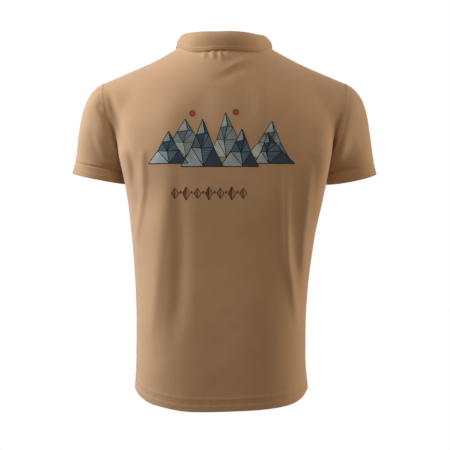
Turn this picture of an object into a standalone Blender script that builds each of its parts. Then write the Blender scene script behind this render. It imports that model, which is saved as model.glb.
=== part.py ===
"""A short-sleeved polo shirt, filled out as if worn, as an assembly of thin closed cloth shells.

Metres, +Z up. The back of the shirt faces -Y and the wearer's right side is at +X. The origin is
the middle of the neck, at the height of the shoulder points where the shirt hangs on its wearer.
"""

import math

import bmesh
import bpy
import numpy as np
from mathutils import Vector

# Cloth and trim
CLOTH = 0.0012
RIB_KNIT = 0.0014
TAPE = 0.0008
SEAM_GAP = 0.0006
SHOULDER_GAP = 0.0009
ARMHOLE_GAP = 0.0009
LAP_GAP = 0.0004
TRIM_GAP = 0.0008

# Body lengths
ARMPIT = -0.222
HEM_SIDE = -0.683
HEM_DROP = {"back": 0.0315, "front": 0.006}
HEM_CURVE = 1.6
VENT_TOP = -0.640
VENT_OPEN = 0.003
BACK_POWER = 3.0

# Shoulder line and neckline
TIP_X, TIP_Y, TIP_Z = 0.247, 0.005, -0.069
SHOULDER_SLOPE = 0.43
NECK_X, NECK_Y = 0.089, 0.010
NECK_FLARE, FLARE_WIDTH = 0.008, 0.016
NECK_SHARE = NECK_X / TIP_X
NECK_DEPTH = {"back": 0.090, "front": 0.070}

# Sleeves: the free edge of a cuff, from its outer end
CUFF_OUTER_X, CUFF_OUTER_Z = 0.309, -0.251
CUFF_Y = 0.034
CUFF_RADIUS, CUFF_DEPTH = 0.0525, 0.053
CUFF_HEIGHT = 0.025
CUFF_SLOPE = 0.2
CUFF_TIP = {"left": 0.06, "right": 0.14}

# Placket, buttons, tape and label
PLACKET_HALF = 0.015
PLACKET_BOTTOM = -0.232
BUTTON_RADIUS, BUTTON_THICK, BUTTON_GAP = 0.0057, 0.0026, 0.0009
BUTTON_HEIGHTS = (-0.102, -0.154, -0.206)
TAPE_LEVELS = (1.90, 1.94, 1.985)
LABEL_SHARE = 0.07
LABEL_LEVELS = (1.62, 1.70, 1.78, 1.84, 1.90, 1.94)
VENT_TAPE_EDGE, VENT_TAPE_WIDTH, VENT_TAPE_RISE = 0.0045, 0.010, 0.005

# Collar: the radius of its fold, the bow of its fall, and how its seam stands off the neckline
FOLD_RADIUS, FALL_BOW = 0.0022, 0.0035
COLLAR_LIFT, COLLAR_INSET = 0.0012, 0.0006

# Mesh steps
NECK_CELLS, SHOULDER_CELLS = 8, 7
LOWER_CELLS, YOKE_CELLS = 9, 12
YOKE_SPACING = 1.4
SLEEVE_CELLS = 7
VENT_CELLS = 4

# Body cross-sections by height:
# height, half width, y where widest, y at back, y at front, front roundness, side seam angle, sway
SECTIONS = (
    (-0.690, 0.1745, 0.000, -0.145, 0.131, 2.3, 90, -0.006),
    (-0.640, 0.1714, 0.000, -0.142, 0.128, 2.3, 90, -0.007),
    (-0.510, 0.1724, -0.006, -0.134, 0.120, 2.2, 93, -0.006),
    (-0.387, 0.1835, -0.018, -0.128, 0.118, 2.0, 101, -0.003),
    (-0.277, 0.2030, -0.036, -0.130, 0.121, 1.72, 113, 0.001),
    (-0.222, 0.2170, -0.045, -0.128, 0.120, 1.6, 118, 0.000),
)

# Handles that shape the yoke, by distance from the centre line:
# distance, lower handle (out, y, up), upper handle (out, y, up)
YOKE = {
    "back": (
        (0.00, 0.000, -0.004, 0.085, 0.000, -0.121, 0.023),
        (0.36, 0.006, -0.006, 0.080, 0.000, -0.072, 0.015),
        (0.65, 0.012, -0.016, 0.072, 0.002, -0.080, -0.005),
        (0.85, 0.016, -0.050, 0.036, 0.003, -0.082, -0.008),
        (1.00, 0.052, -0.089, 0.006, 0.003, -0.078, -0.012),
    ),
    "front": (
        (0.00, 0.000, 0.004, 0.062, 0.000, 0.066, -0.098),
        (0.36, 0.004, 0.006, 0.075, 0.000, 0.050, -0.004),
        (0.65, 0.006, 0.010, 0.072, 0.002, 0.070, -0.008),
        (0.85, 0.008, 0.028, 0.050, 0.005, 0.074, -0.010),
        (1.00, 0.010, 0.051, 0.008, 0.008, 0.070, -0.014),
    ),
}

# How the sleeve leaves the armhole, by distance from the shoulder tip to the armpit:
# distance, outward, away from the body's middle in y, up, reach of the handle at the cuff
SLEEVE = (
    (0.00, 0.045, 0.000, -0.020, 0.050),
    (0.25, 0.038, 0.004, -0.022, 0.044),
    (0.50, 0.028, 0.006, -0.026, 0.034),
    (0.75, 0.018, 0.006, -0.018, 0.020),
    (1.00, 0.014, 0.000, -0.004, 0.010),
)

# The collar's fold line and outer edge, by distance from the centre back:
# distance, fold (x, y, z), outer edge (x, y, z)
COLLAR = (
    (0.00, 0.000, -0.0800, 0.0215, 0.000, -0.0880, -0.0145),
    (0.25, 0.059, -0.0580, 0.0230, 0.067, -0.0660, -0.0100),
    (0.45, 0.088, -0.0060, 0.0255, 0.101, -0.0080, 0.0030),
    (0.60, 0.087, 0.0290, 0.0150, 0.1040, 0.0390, -0.0145),
    (0.80, 0.058, 0.0660, -0.0200, 0.0866, 0.0762, -0.0775),
    (1.00, 0.008, 0.0840, -0.0580, 0.0455, 0.0985, -0.1225),
)


def smooth(table, key):
    """The table's columns at key, on a smooth curve through its rows. The first column is the key."""
    rows = np.array(table, float)
    keys, values = rows[:, 0], rows[:, 1:]
    slopes = np.gradient(values, keys, axis=0)
    key = np.clip(np.asarray(key, float), keys[0], keys[-1])
    i = np.clip(np.searchsorted(keys, key, side="right") - 1, 0, len(keys) - 2)
    width = (keys[i + 1] - keys[i])[..., None]
    f = (key - keys[i])[..., None] / width
    at = (2 * f**3 - 3 * f**2 + 1) * values[i] + (3 * f**2 - 2 * f**3) * values[i + 1]
    at = at + (f**3 - 2 * f**2 + f) * width * slopes[i] + (f**3 - f**2) * width * slopes[i + 1]
    return np.moveaxis(at, -1, 0)


def points(x, y, z):
    return np.stack(np.broadcast_arrays(x, y, z), axis=-1).astype(float)


def unit(vectors):
    return vectors / np.maximum(np.linalg.norm(vectors, axis=-1, keepdims=True), 1e-12)


def bezier(start, handle_a, handle_b, end, at):
    at = np.asarray(at)[..., None]
    back = 1 - at
    return back**3 * start + 3 * back**2 * at * handle_a + 3 * back * at**2 * handle_b + at**3 * end


def section_angle(face, across, side_angle):
    """The angle round the body from the centre back, for a place across one face from -1 to 1."""
    side = np.radians(side_angle)
    if face == "back":
        return across * side
    return np.where(across < 0, -1, 1) * (math.pi - np.abs(across) * (math.pi - side))


def lower_body(face, across, up):
    """The tube from the hem, up = 0, to the armpits, up = 1."""
    height = HEM_SIDE + up * (ARMPIT - HEM_SIDE)
    half, widest, back_y, front_y, power, side_angle, sway = smooth(SECTIONS, height)
    angle = section_angle(face, across, side_angle)
    sine, cosine = np.abs(np.sin(angle)), np.abs(np.cos(angle))
    behind = np.abs(angle) <= math.pi / 2
    radius = (sine**BACK_POWER + cosine**BACK_POWER) ** (-1 / BACK_POWER)
    out = np.where(behind, radius * sine, sine ** (2 / power))
    x = sway + half * np.sign(angle) * out
    y = widest + np.where(behind, (back_y - widest) * radius * cosine, (front_y - widest) * cosine ** (2 / power))
    hem = HEM_SIDE - HEM_DROP[face] * (1 - np.abs(across) ** HEM_CURVE)
    return points(x, y, ARMPIT + (hem - ARMPIT) * (1 - up))


def mirrored(table, odd):
    """A table by distance from the centre line, run on to the other side. Odd columns change sign."""
    rows = np.array(table, float)
    other = rows[:0:-1].copy()
    other[:, (0, *odd)] *= -1
    return np.concatenate([other, rows])


def crest(across, flare):
    """The line of the shoulder seams, run on over the neck as if it had no opening."""
    x = TIP_X * np.abs(across)
    neck_height = TIP_Z + SHOULDER_SLOPE * (TIP_X - NECK_X) + flare
    over_neck = neck_height + (SHOULDER_SLOPE + flare / FLARE_WIDTH) * (NECK_X**2 - x**2) / (2 * NECK_X)
    out = np.maximum(x - NECK_X, 0)
    shoulder = TIP_Z + SHOULDER_SLOPE * (TIP_X - x) + flare * np.exp(-out / FLARE_WIDTH)
    y = NECK_Y + (TIP_Y - NECK_Y) * (x / TIP_X) ** 2
    return points(TIP_X * across, y, np.where(x < NECK_X, over_neck, shoulder))


def column(face, across, rise):
    """The part above the armpits, rise = 0, to the crest, rise = 1."""
    start, end = lower_body(face, across, 1.0), crest(across, NECK_FLARE)
    out_a, y_a, up_a, out_b, y_b, up_b = smooth(mirrored(YOKE[face], (1, 4)), across)
    handle = crest(across, 0.0) + points(out_b, y_b, up_b)
    return bezier(start, start + points(out_a, y_a, up_a), handle, end, rise)


def neck_cut(face, across):
    """How far each column rises before it meets the neck opening, an oval seen from above."""
    low, high = np.full_like(across, 0.3), np.ones_like(across)
    for _ in range(30):
        middle = (low + high) / 2
        x, y, _ = np.moveaxis(column(face, across, middle), -1, 0)
        outside = (x / NECK_X) ** 2 + ((y - NECK_Y) / NECK_DEPTH[face]) ** 2 > 1
        low, high = np.where(outside, middle, low), np.where(outside, high, middle)
    return low


def body_point(face, across, up):
    """A face of the body, up = 0 at the hem, 1 at the armpits and 2 at the top edge.

    Towards the top the columns of the neck close up sideways and stop at its opening.
    """
    across, up = np.broadcast_arrays(np.asarray(across, float), np.asarray(up, float))
    rise = np.clip(up - 1, 0, 1)
    share = np.clip(across / NECK_SHARE, -1, 1)
    closed_up = across + NECK_SHARE * (np.sin(share * math.pi / 2) - share) * rise**3
    cut = neck_cut(face, closed_up)
    late = np.minimum(0.7 * cut / np.maximum(1 - cut, 1e-6), 2)
    high = column(face, closed_up, rise * (1 - (1 - cut) * rise**late))
    low = lower_body(face, across, np.clip(up, 0, 1))
    return np.where((up <= 1)[..., None], low, high)


def neckline(face, turn):
    """The edge of the neck opening, by the turn round it from the centre line, a quarter at the shoulder."""
    return body_point(face, NECK_SHARE * turn / (math.pi / 2), 2)


def on_front(x, z):
    """The point of the front at x and z, near its centre line."""
    levels = np.linspace(0, 2, 161)
    centre = body_point("front", 0.0, levels)
    ups = np.interp(z, centre[:, 2], levels)
    places = np.linspace(-0.5, 0.5, 101)
    found = [np.interp(a, body_point("front", places, u)[:, 0], places) for a, u in zip(x.flat, ups.flat)]
    return body_point("front", np.array(found).reshape(x.shape), ups)


def grid_normals(grid):
    """Unit normals of a grid of points, on the side where rows cross columns right-handed."""
    return unit(np.cross(np.gradient(grid, axis=1), np.gradient(grid, axis=0)))


def draw_in(grid, edges, by):
    """Moves the named edges of a grid towards its inside."""
    grid = grid.copy()
    inner = {"low": (0, 1), "high": (-1, -2)}
    for edge in edges:
        axis, (rim, beside) = edge[0], inner[edge[1]]
        line = (rim,) if axis == "row" else (slice(None), rim)
        near = (beside,) if axis == "row" else (slice(None), beside)
        grid[line] += by * unit(grid[near] - grid[line])
    return grid


def fabric(name, colour, roughness):
    material = bpy.data.materials.new(name)
    material.use_nodes = True
    shader = material.node_tree.nodes["Principled BSDF"]
    shader.inputs["Base Color"].default_value = (*colour, 1)
    shader.inputs["Roughness"].default_value = roughness
    shader.inputs["Metallic"].default_value = 0.0
    return material


def shell(name, grid, thickness, material, closed=False, turned=False, offset=-1):
    """A closed shell on a grid of points, with its wall built by a Solidify modifier."""
    rows, columns = grid.shape[:2]
    bm = bmesh.new()
    verts = [[bm.verts.new(point) for point in row] for row in grid]
    for i in range(rows - 1):
        for j in range(columns if closed else columns - 1):
            k = (j + 1) % columns
            corners = [verts[i][j], verts[i][k], verts[i + 1][k], verts[i + 1][j]]
            bm.faces.new(corners[::-1] if turned else corners)
    mesh = bpy.data.meshes.new(name)
    bm.to_mesh(mesh)
    bm.free()
    mesh.shade_smooth()
    mesh.materials.append(material)
    piece = bpy.data.objects.new(name, mesh)
    bpy.context.collection.objects.link(piece)
    wall = piece.modifiers.new("wall", "SOLIDIFY")
    wall.thickness = thickness
    wall.offset = offset
    wall.use_even_offset = True
    return piece


def body_places():
    neck = np.linspace(0, NECK_SHARE, NECK_CELLS + 1)
    shoulder = np.linspace(NECK_SHARE, 1, SHOULDER_CELLS + 1)[1:]
    half = np.concatenate([neck, shoulder])
    return np.concatenate([-half[:0:-1], half])


def body_levels():
    yoke_levels = 2 - (1 - np.linspace(0, 1, YOKE_CELLS + 1)[1:]) ** YOKE_SPACING
    return np.concatenate([np.linspace(0, 1, LOWER_CELLS + 1), yoke_levels])


def armhole_places():
    """Places round the armhole that meet the rows of the body's yoke."""
    levels = body_levels()[LOWER_CELLS:] - 1
    return np.concatenate([(1 - levels[::-1]) / 2, (1 + levels[1:-1]) / 2])


def open_vents(grid):
    """Spreads the side edges apart below the top of the vents."""
    grid = grid.copy()
    for rim, beside in ((0, 1), (-1, -2)):
        below = np.clip((VENT_TOP - grid[:, rim, 2]) / (VENT_TOP - HEM_SIDE), 0, 1)[:, None]
        grid[:, rim] += VENT_OPEN * below * unit(grid[:, beside] - grid[:, rim])
    return grid


def make_body(face, material):
    grid = body_point(face, body_places()[None, :], body_levels()[:, None])
    grid = draw_in(grid, (("column", "low"), ("column", "high")), SEAM_GAP / 2)
    grid = open_vents(draw_in(grid, (("row", "high"),), SHOULDER_GAP / 2))
    return shell(face + "_panel", grid, CLOTH, material, turned=face == "front")


def cut_placket_slot(panel):
    bm = bmesh.new()
    bmesh.ops.create_cube(bm, size=1)
    half = PLACKET_HALF + SEAM_GAP
    low, high = Vector((-half, 0.02, PLACKET_BOTTOM - SEAM_GAP)), Vector((half, 0.2, 0.05))
    for vert in bm.verts:
        vert.co = Vector(low[i] + (vert.co[i] + 0.5) * (high[i] - low[i]) for i in range(3))
    mesh = bpy.data.meshes.new("slot_cutter")
    bm.to_mesh(mesh)
    bm.free()
    cutter = bpy.data.objects.new("slot_cutter", mesh)
    bpy.context.collection.objects.link(cutter)
    cutter.hide_render = True
    cutter.display_type = "WIRE"
    slot = panel.modifiers.new("slot", "BOOLEAN")
    slot.object = cutter
    slot.operation = "DIFFERENCE"


def armhole(side, around):
    """The armhole, from the shoulder tip down the back to the armpit and up the front."""
    back = column("back", np.full_like(around, side), np.clip(1 - 2 * around, 0, 1))
    front = column("front", np.full_like(around, side), np.clip(2 * around - 1, 0, 1))
    return np.where((around <= 0.5)[:, None], back, front)


def cuff_frame(name, side):
    """The centre of the cuff's free edge, its outward and forward axes, and the way down it."""
    inward = unit(np.array([-side, 0, -CUFF_SLOPE]))
    forward = unit(np.array([0, 1, CUFF_TIP[name]]))
    centre = np.array([side * CUFF_OUTER_X, CUFF_Y, CUFF_OUTER_Z]) + CUFF_RADIUS * inward
    down = unit(np.array([side * CUFF_SLOPE, 0, -1]))
    return centre, -inward, forward, down


def cuff_ring(name, side, around, above):
    centre, outward, forward, down = cuff_frame(name, side)
    turn = 2 * math.pi * around[:, None]
    ring = CUFF_RADIUS * np.cos(turn) * outward - CUFF_DEPTH * np.sin(turn) * forward
    return centre - above * down + ring


def sleeve_grid(name, side, around, along):
    start = armhole(side, around)
    end = cuff_ring(name, side, around, CUFF_HEIGHT)
    down = cuff_frame(name, side)[3]
    out, away, up, reach = smooth(mirrored(SLEEVE, (2,)), np.where(around <= 0.5, 2 * around, 2 * around - 2))
    handle = start + points(side * out, -away, up)
    grid = bezier(start, handle, end - reach[:, None] * down, end, along[:, None])
    return draw_in(draw_in(grid, (("row", "low"),), ARMHOLE_GAP), (("row", "high"),), SEAM_GAP / 2)


def make_sleeve(name, side, cloth, rib):
    around = armhole_places()
    along = np.linspace(0, 1, SLEEVE_CELLS + 1)
    grid = sleeve_grid(name, side, around, along)
    shell("sleeve_" + name, grid, CLOTH, cloth, closed=True, turned=side < 0)
    rings = [cuff_ring(name, side, around, CUFF_HEIGHT * share) for share in (1, 0.5, 0)]
    cuff = draw_in(np.array(rings), (("row", "low"),), SEAM_GAP / 2)
    shell("cuff_" + name, cuff, RIB_KNIT, rib, closed=True, turned=side < 0)


def neck_seam(along):
    """The seam between body and collar, from the centre back to the centre front on one side."""
    quarter = np.linspace(0, math.pi / 2, 65)
    line = np.concatenate([neckline("back", quarter), neckline("front", quarter[:-1])[::-1]])
    depth = np.where(line[:, 1] < NECK_Y, NECK_DEPTH["back"], NECK_DEPTH["front"])
    turn = np.arctan2(line[:, 0] / NECK_X, (NECK_Y - line[:, 1]) / depth) / math.pi
    seam = np.stack([np.interp(np.clip(np.abs(along), 0, 0.98), turn, line[:, i]) for i in range(3)], axis=-1)
    seam[:, 0] *= np.where(along < 0, -1, 1)
    return seam - COLLAR_INSET * unit(seam * np.array([1, 1, 0])) + np.array([0, 0, COLLAR_LIFT])


def collar_grid(along):
    """Rows from the neck seam up the stand, over the fold and down to the outer edge."""
    fold_x, fold_y, fold_z, edge_x, edge_y, edge_z = smooth(mirrored(COLLAR, (1, 4)), along)
    seam = neck_seam(along)
    fold, edge = points(fold_x, fold_y, fold_z), points(edge_x, edge_y, edge_z)
    outward = unit((edge - fold) * np.array([1, 1, 0]))
    inner = fold - FOLD_RADIUS * outward
    outer = fold + FOLD_RADIUS * outward
    crest = fold + np.array([0, 0, FOLD_RADIUS])
    rows = [seam, seam + (inner - seam) * 0.5, inner, crest, outer]
    for share in (0.25, 0.6, 1):
        bow = FALL_BOW * math.sin(math.pi * share**0.7)
        rows.append(outer + (edge - outer) * share + bow * outward)
    return np.array(rows)


def make_collar(rib):
    grid = collar_grid(np.linspace(-1, 1, 4 * NECK_CELLS + 1))
    shell("collar", grid, RIB_KNIT, rib, turned=True, offset=0)


def placket_grid(half, top, bottom, inside):
    x = np.linspace(-half, half, 5)[None, :]
    z = np.linspace(bottom, top, 12)[:, None]
    grid = on_front(*np.broadcast_arrays(x, z))
    return grid + inside * grid_normals(grid)


def make_placket(cloth):
    top = neckline("front", 0.0)[2] - SEAM_GAP
    upper = placket_grid(PLACKET_HALF, top, PLACKET_BOTTOM, 0)
    shell("placket_top", upper, CLOTH, cloth, turned=True)
    under = placket_grid(PLACKET_HALF, top, PLACKET_BOTTOM, CLOTH + LAP_GAP)
    shell("placket_under", under, CLOTH, cloth, turned=True)


def make_button(number, height, material):
    beside = np.array([[-0.004, 0.004], [-0.004, 0.004]])
    levels = height + np.array([[-0.004, -0.004], [0.004, 0.004]])
    patch = on_front(beside, levels)
    normal = Vector(np.cross(patch[0, 1] - patch[0, 0], patch[1, 0] - patch[0, 0])).normalized()
    if normal.y < 0:
        normal = -normal
    seat = Vector(on_front(np.array([0.0]), np.array([height]))[0])
    bm = bmesh.new()
    bmesh.ops.create_cone(
        bm, cap_ends=True, segments=24, radius1=BUTTON_RADIUS, radius2=BUTTON_RADIUS, depth=BUTTON_THICK
    )
    rims = [edge for edge in bm.edges if not edge.is_manifold or len(edge.link_faces[0].verts) > 4
            or len(edge.link_faces[1].verts) > 4]
    bmesh.ops.bevel(bm, geom=rims, offset=0.0005, segments=1, affect="EDGES")
    mesh = bpy.data.meshes.new("button")
    bm.to_mesh(mesh)
    bm.free()
    mesh.shade_smooth()
    mesh.set_sharp_from_angle(angle=math.radians(40))
    mesh.materials.append(material)
    button = bpy.data.objects.new(f"button_{number}", mesh)
    bpy.context.collection.objects.link(button)
    button.rotation_euler = normal.to_track_quat("Z", "Y").to_euler()
    button.location = seat + normal * (BUTTON_THICK / 2 + BUTTON_GAP)


def under_facets(face, places, levels, deep):
    """Points this deep inside the facets of a face of the body."""
    across, up = body_places(), body_levels()
    panel = body_point(face, across[None, :], up[:, None])
    panel = panel + deep * grid_normals(panel) * (-1 if face == "back" else 1)
    i = np.clip(np.searchsorted(up, levels, side="right") - 1, 0, len(up) - 2)
    j = np.clip(np.searchsorted(across, places, side="right") - 1, 0, len(across) - 2)
    f = ((levels - up[i]) / (up[i + 1] - up[i]))[..., None]
    g = ((places - across[j]) / (across[j + 1] - across[j]))[..., None]
    low = panel[i, j] * (1 - g) + panel[i, j + 1] * g
    high = panel[i + 1, j] * (1 - g) + panel[i + 1, j + 1] * g
    return low * (1 - f) + high * f


def make_neck_trim(tape, label):
    neck_places = np.linspace(-0.97, 0.97, 2 * NECK_CELLS + 1) * NECK_SHARE
    places, levels = np.meshgrid(neck_places, TAPE_LEVELS)
    shell("neck_tape", under_facets("back", places, levels, CLOTH + TRIM_GAP), TAPE, tape)
    places, levels = np.meshgrid(np.linspace(-LABEL_SHARE, LABEL_SHARE, 5), LABEL_LEVELS)
    deep = CLOTH + TAPE + 2 * TRIM_GAP
    shell("neck_label", under_facets("back", places, levels, deep), TAPE, label)


def vent_path(side, distance, top):
    """A line inside the body at this distance from the vent: up its front, over it and down its back."""
    heights = np.linspace(HEM_SIDE + VENT_TAPE_RISE, top, VENT_CELLS + 1)
    levels = (heights - HEM_SIDE) / (ARMPIT - HEM_SIDE)
    outer_cell = body_places()[-2:]
    legs = []
    for face in ("front", "back"):
        ends = body_point(face, side * outer_cell[None, :], levels[:, None])
        cell = np.linalg.norm(ends[:, 1] - ends[:, 0], axis=1)
        places = side * (1 - distance / cell * (outer_cell[1] - outer_cell[0]))
        legs.append(under_facets(face, places, levels, CLOTH + TRIM_GAP))
    over = sum(under_facets(face, np.array([side]), levels[-1:], CLOTH + TRIM_GAP) for face in ("front", "back")) / 2
    return np.concatenate([legs[0], over, legs[1][::-1]])


def make_vent_tape(name, side, tape):
    near = vent_path(side, VENT_TAPE_EDGE, VENT_TOP + VENT_TAPE_EDGE)
    far = vent_path(side, VENT_TAPE_EDGE + VENT_TAPE_WIDTH, VENT_TOP + VENT_TAPE_EDGE + VENT_TAPE_WIDTH)
    shell("vent_tape_" + name, np.array([near, far]), TAPE, tape, turned=side > 0)


def remove_startup_objects():
    for item in list(bpy.data.objects):
        bpy.data.objects.remove(item)


def main():
    remove_startup_objects()
    pique = fabric("cotton pique", (0.42, 0.27, 0.15), 0.9)
    rib = fabric("rib knit", (0.40, 0.255, 0.14), 0.9)
    twill = fabric("twill tape", (0.38, 0.24, 0.13), 0.85)
    satin = fabric("woven label", (0.60, 0.52, 0.42), 0.6)
    resin = fabric("button resin", (0.36, 0.25, 0.16), 0.35)
    make_body("back", pique)
    cut_placket_slot(make_body("front", pique))
    for name, side in (("left", -1), ("right", 1)):
        make_sleeve(name, side, pique, rib)
    make_collar(rib)
    make_placket(pique)
    for number, height in enumerate(BUTTON_HEIGHTS, 1):
        make_button(number, height, resin)
    make_neck_trim(twill, satin)
    for name, side in (("left", -1), ("right", 1)):
        make_vent_tape(name, side, twill)


main()
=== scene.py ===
"""A short-sleeved polo shirt, filled out as if worn and seen from behind.

Metres, +Z up. The back of the shirt faces -Y and the wearer's right sleeve is at +X. The pieces
come in sewing order, and after them the camera, the lights and the floor.
"""

import math

import bmesh
import bpy
import numpy as np
from mathutils import Matrix, Vector, noise
from mathutils.bvhtree import BVHTree


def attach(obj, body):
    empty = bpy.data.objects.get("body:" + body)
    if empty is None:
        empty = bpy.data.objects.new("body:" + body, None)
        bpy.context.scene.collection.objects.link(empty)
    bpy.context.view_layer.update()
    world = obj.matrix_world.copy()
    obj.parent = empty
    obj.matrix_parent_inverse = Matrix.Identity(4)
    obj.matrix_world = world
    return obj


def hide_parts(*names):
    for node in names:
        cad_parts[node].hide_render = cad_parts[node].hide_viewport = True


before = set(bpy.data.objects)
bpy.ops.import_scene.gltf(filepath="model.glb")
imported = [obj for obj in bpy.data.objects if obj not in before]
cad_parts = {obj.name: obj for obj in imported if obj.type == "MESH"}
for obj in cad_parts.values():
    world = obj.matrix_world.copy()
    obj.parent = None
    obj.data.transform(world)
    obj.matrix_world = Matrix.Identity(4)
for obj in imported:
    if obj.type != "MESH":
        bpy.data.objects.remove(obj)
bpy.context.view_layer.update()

# Back panel
# One piece of cotton pique knit with a drop tail, sewn to the front at the shoulders and sides. The
# body is a tube of cross-sections up to the armpits, and a yoke that closes in from there to the
# shoulder seams and the neck opening. Soft folds hang from the shoulder blades and the armholes.
CLOTH = 0.0009
ARMPIT, HEM_SIDE, VENT_TOP = -0.222, -0.683, -0.640
# How far the hem lies below its ends, at places across each face
HEM_DROP = {
    "back": (
        (-1.0, 0.0), (-0.86, 0.0), (-0.72, 0.0015), (-0.60, 0.0110), (-0.50, 0.0195), (-0.40, 0.0248),
        (-0.25, 0.0313), (-0.10, 0.0320), (0.10, 0.0305), (0.30, 0.0277), (0.40, 0.0248), (0.50, 0.0205),
        (0.60, 0.0125), (0.72, 0.0015), (0.86, 0.0), (1.0, 0.0),
    ),
    "front": ((-1.0, 0.0), (-0.5, 0.0045), (0.0, 0.0060), (0.5, 0.0045), (1.0, 0.0)),
}
HEM_BAND = 0.021
NEEDLE_LINES = (0.0145, 0.0200)
VENT_OPEN = 0.0008
BACK_POWER = 3.0
TIP_X, TIP_Y, TIP_Z = 0.247, 0.005, -0.069
SHOULDER_SLOPE = 0.43
NECK_X, NECK_Y = 0.089, 0.010
NECK_FLARE, FLARE_WIDTH = 0.008, 0.016
NECK_SHARE = NECK_X / TIP_X
NECK_DEPTH = {"back": 0.090, "front": 0.070}
# height, half width, y where widest, y at back, y at front, front roundness, side seam angle, sway
SECTIONS = (
    (-0.690, 0.1745, 0.000, -0.145, 0.131, 2.3, 90, -0.006),
    (-0.640, 0.1714, 0.000, -0.142, 0.128, 2.3, 90, -0.007),
    (-0.510, 0.1724, -0.006, -0.134, 0.120, 2.2, 93, -0.006),
    (-0.387, 0.1835, -0.018, -0.128, 0.118, 2.0, 101, -0.003),
    (-0.277, 0.2010, -0.036, -0.130, 0.121, 1.72, 113, 0.001),
    (-0.222, 0.2110, -0.045, -0.128, 0.120, 1.6, 118, 0.000),
)
# distance from the centre line, lower handle (out, y, up), upper handle (out, y, up)
YOKE = {
    "back": (
        (0.00, 0.000, -0.004, 0.085, 0.000, -0.121, 0.023),
        (0.36, 0.006, -0.006, 0.080, 0.000, -0.072, 0.015),
        (0.65, 0.013, -0.018, 0.072, 0.002, -0.080, -0.005),
        (0.85, 0.029, -0.052, 0.036, 0.003, -0.081, -0.008),
        (1.00, 0.050, -0.089, 0.006, 0.003, -0.078, -0.012),
    ),
    "front": (
        (0.00, 0.000, 0.004, 0.062, 0.000, 0.066, -0.098),
        (0.36, 0.004, 0.006, 0.075, 0.000, 0.050, -0.004),
        (0.65, 0.006, 0.010, 0.072, 0.002, 0.070, -0.008),
        (0.85, 0.008, 0.028, 0.050, 0.005, 0.074, -0.010),
        (1.00, 0.010, 0.051, 0.008, 0.008, 0.070, -0.014),
    ),
}
# Each fold is a line of places: x, z, how far it stands out, its half width, all in mm
BACK_FOLDS = (
    ((-91, -235, 0, 15), (-89, -309, -3.4, 15), (-86, -367, -3.8, 15), (-86, -425, -5, 15),
     (-89, -502, -4.6, 16), (-97, -570, -1.5, 17), (-103, -620, 0, 17)),
    ((-112, -100, 0, 32), (-110, -135, 3, 32), (-110, -175, 3, 32), (-108, -215, 1.5, 30),
     (-105, -250, 0, 30)),
    ((-45, -85, 0, 26), (-45, -120, -2.5, 26), (-45, -160, -2, 26), (-45, -200, 0, 26)),
    ((-160, -205, 0, 6), (-160, -231, 3.4, 6), (-160, -289, 3.8, 6), (-165, -325, 3.6, 6),
     (-172, -367, 3, 6), (-177, -400, 0, 6)),
    ((-128, -300, 0, 14), (-131, -425, 1.5, 14), (-136, -502, 2.5, 13), (-142, -570, 1, 13),
     (-146, -620, 0, 12)),
    ((142, -240, 0, 10), (137, -309, -1, 9), (137, -367, -2, 9), (139, -425, -2, 9), (144, -462, 0, 9)),
    ((119, -240, 0, 7), (120, -285, 3, 7), (121, -367, 4.6, 7), (124, -425, 5.2, 7), (131, -470, 5, 7),
     (138, -510, 4.6, 8), (143, -545, 2, 8), (146, -580, 0, 8)),
    ((168, -230, 0, 8), (165, -265, 3.2, 8), (161, -330, 4, 8), (158, -367, 4, 8), (155, -425, 4.2, 8),
     (155, -470, 2.4, 9), (155, -510, 0, 9)),
    ((160, -440, 0, 14), (158, -480, -4, 18), (158, -502, -6, 20), (158, -545, -3, 18), (160, -580, 0, 16)),
    ((60, -50, 0, 22), (72, -95, 3.5, 22), (74, -140, 3.5, 22), (74, -190, 0, 22)),
    ((-12, -62, 0, 6), (5, -52, 1.6, 6), (30, -37, 2.4, 6), (58, -26, 1, 6), (80, -20, 0, 6)),
    ((-28, -78, 0, 11), (0, -67, -2.2, 11), (28, -53, -2.4, 11), (62, -38, 0, 11)),
    ((-24, -13, 1, 4), (-23, -21, 5, 4), (-20, -34, 0, 4)),
    ((-10, -13, 1, 4), (-8, -23, 5, 4), (-3, -37, 0, 4)),
    ((2, -13, 1, 4), (5, -23, 4, 4), (11, -34, 0, 4)),
    ((-41, -14, 0, 4), (-40, -22, 3, 4), (-38, -31, 0, 4)),
)
# How the cloth falls away towards each armhole and side, in mm: z, the x where that starts, the x where
# it is complete, and how far
LEFT_FALL = (
    (-620, -140, -180, 0), (-560, -135, -178, 2), (-502, -130, -176, 6), (-425, -122, -172, 10),
    (-367, -112, -174, 15), (-309, -104, -176, 21), (-289, -100, -180, 20), (-250, -96, -196, 17),
    (-212, -92, -206, 14), (-173, -90, -210, 11), (-135, -90, -215, 7), (-90, -100, -220, 0),
)
RIGHT_FALL = (
    (-340, 150, 190, 0), (-289, 155, 195, -4), (-250, 158, 205, -9), (-212, 160, 210, -9),
    (-135, 165, 220, -5), (-90, 165, 225, 0),
)
ARMHOLE_RISE = 0.05
# Creases that run close beside the armhole seams
BACK_CREASES = (
    ((-236, -80, 0, 6), (-230, -97, -2, 7), (-223, -120, -4, 8), (-214, -147, -6, 9), (-206, -172, -6.5, 9),
     (-202, -192, -5, 9), (-199, -212, -1, 9), (-197, -225, 0, 9)),
    ((-200, -175, 0, 8), (-195, -195, -3, 8), (-187, -215, -5, 8), (-181, -232, -5, 8),
     (-178, -255, -4.2, 8), (-178, -295, 0, 7)),
)
# Cells of a face's grid, and its last places before the side seam
NECK_CELLS, SHOULDER_CELLS, HEM_CELLS, LOWER_CELLS, YOKE_CELLS = 34, 44, 11, 120, 84
SIDE_PLACES = (0.985, 0.990, 0.994, 0.9975, 1)
HEM_SHARE = 0.056
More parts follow.
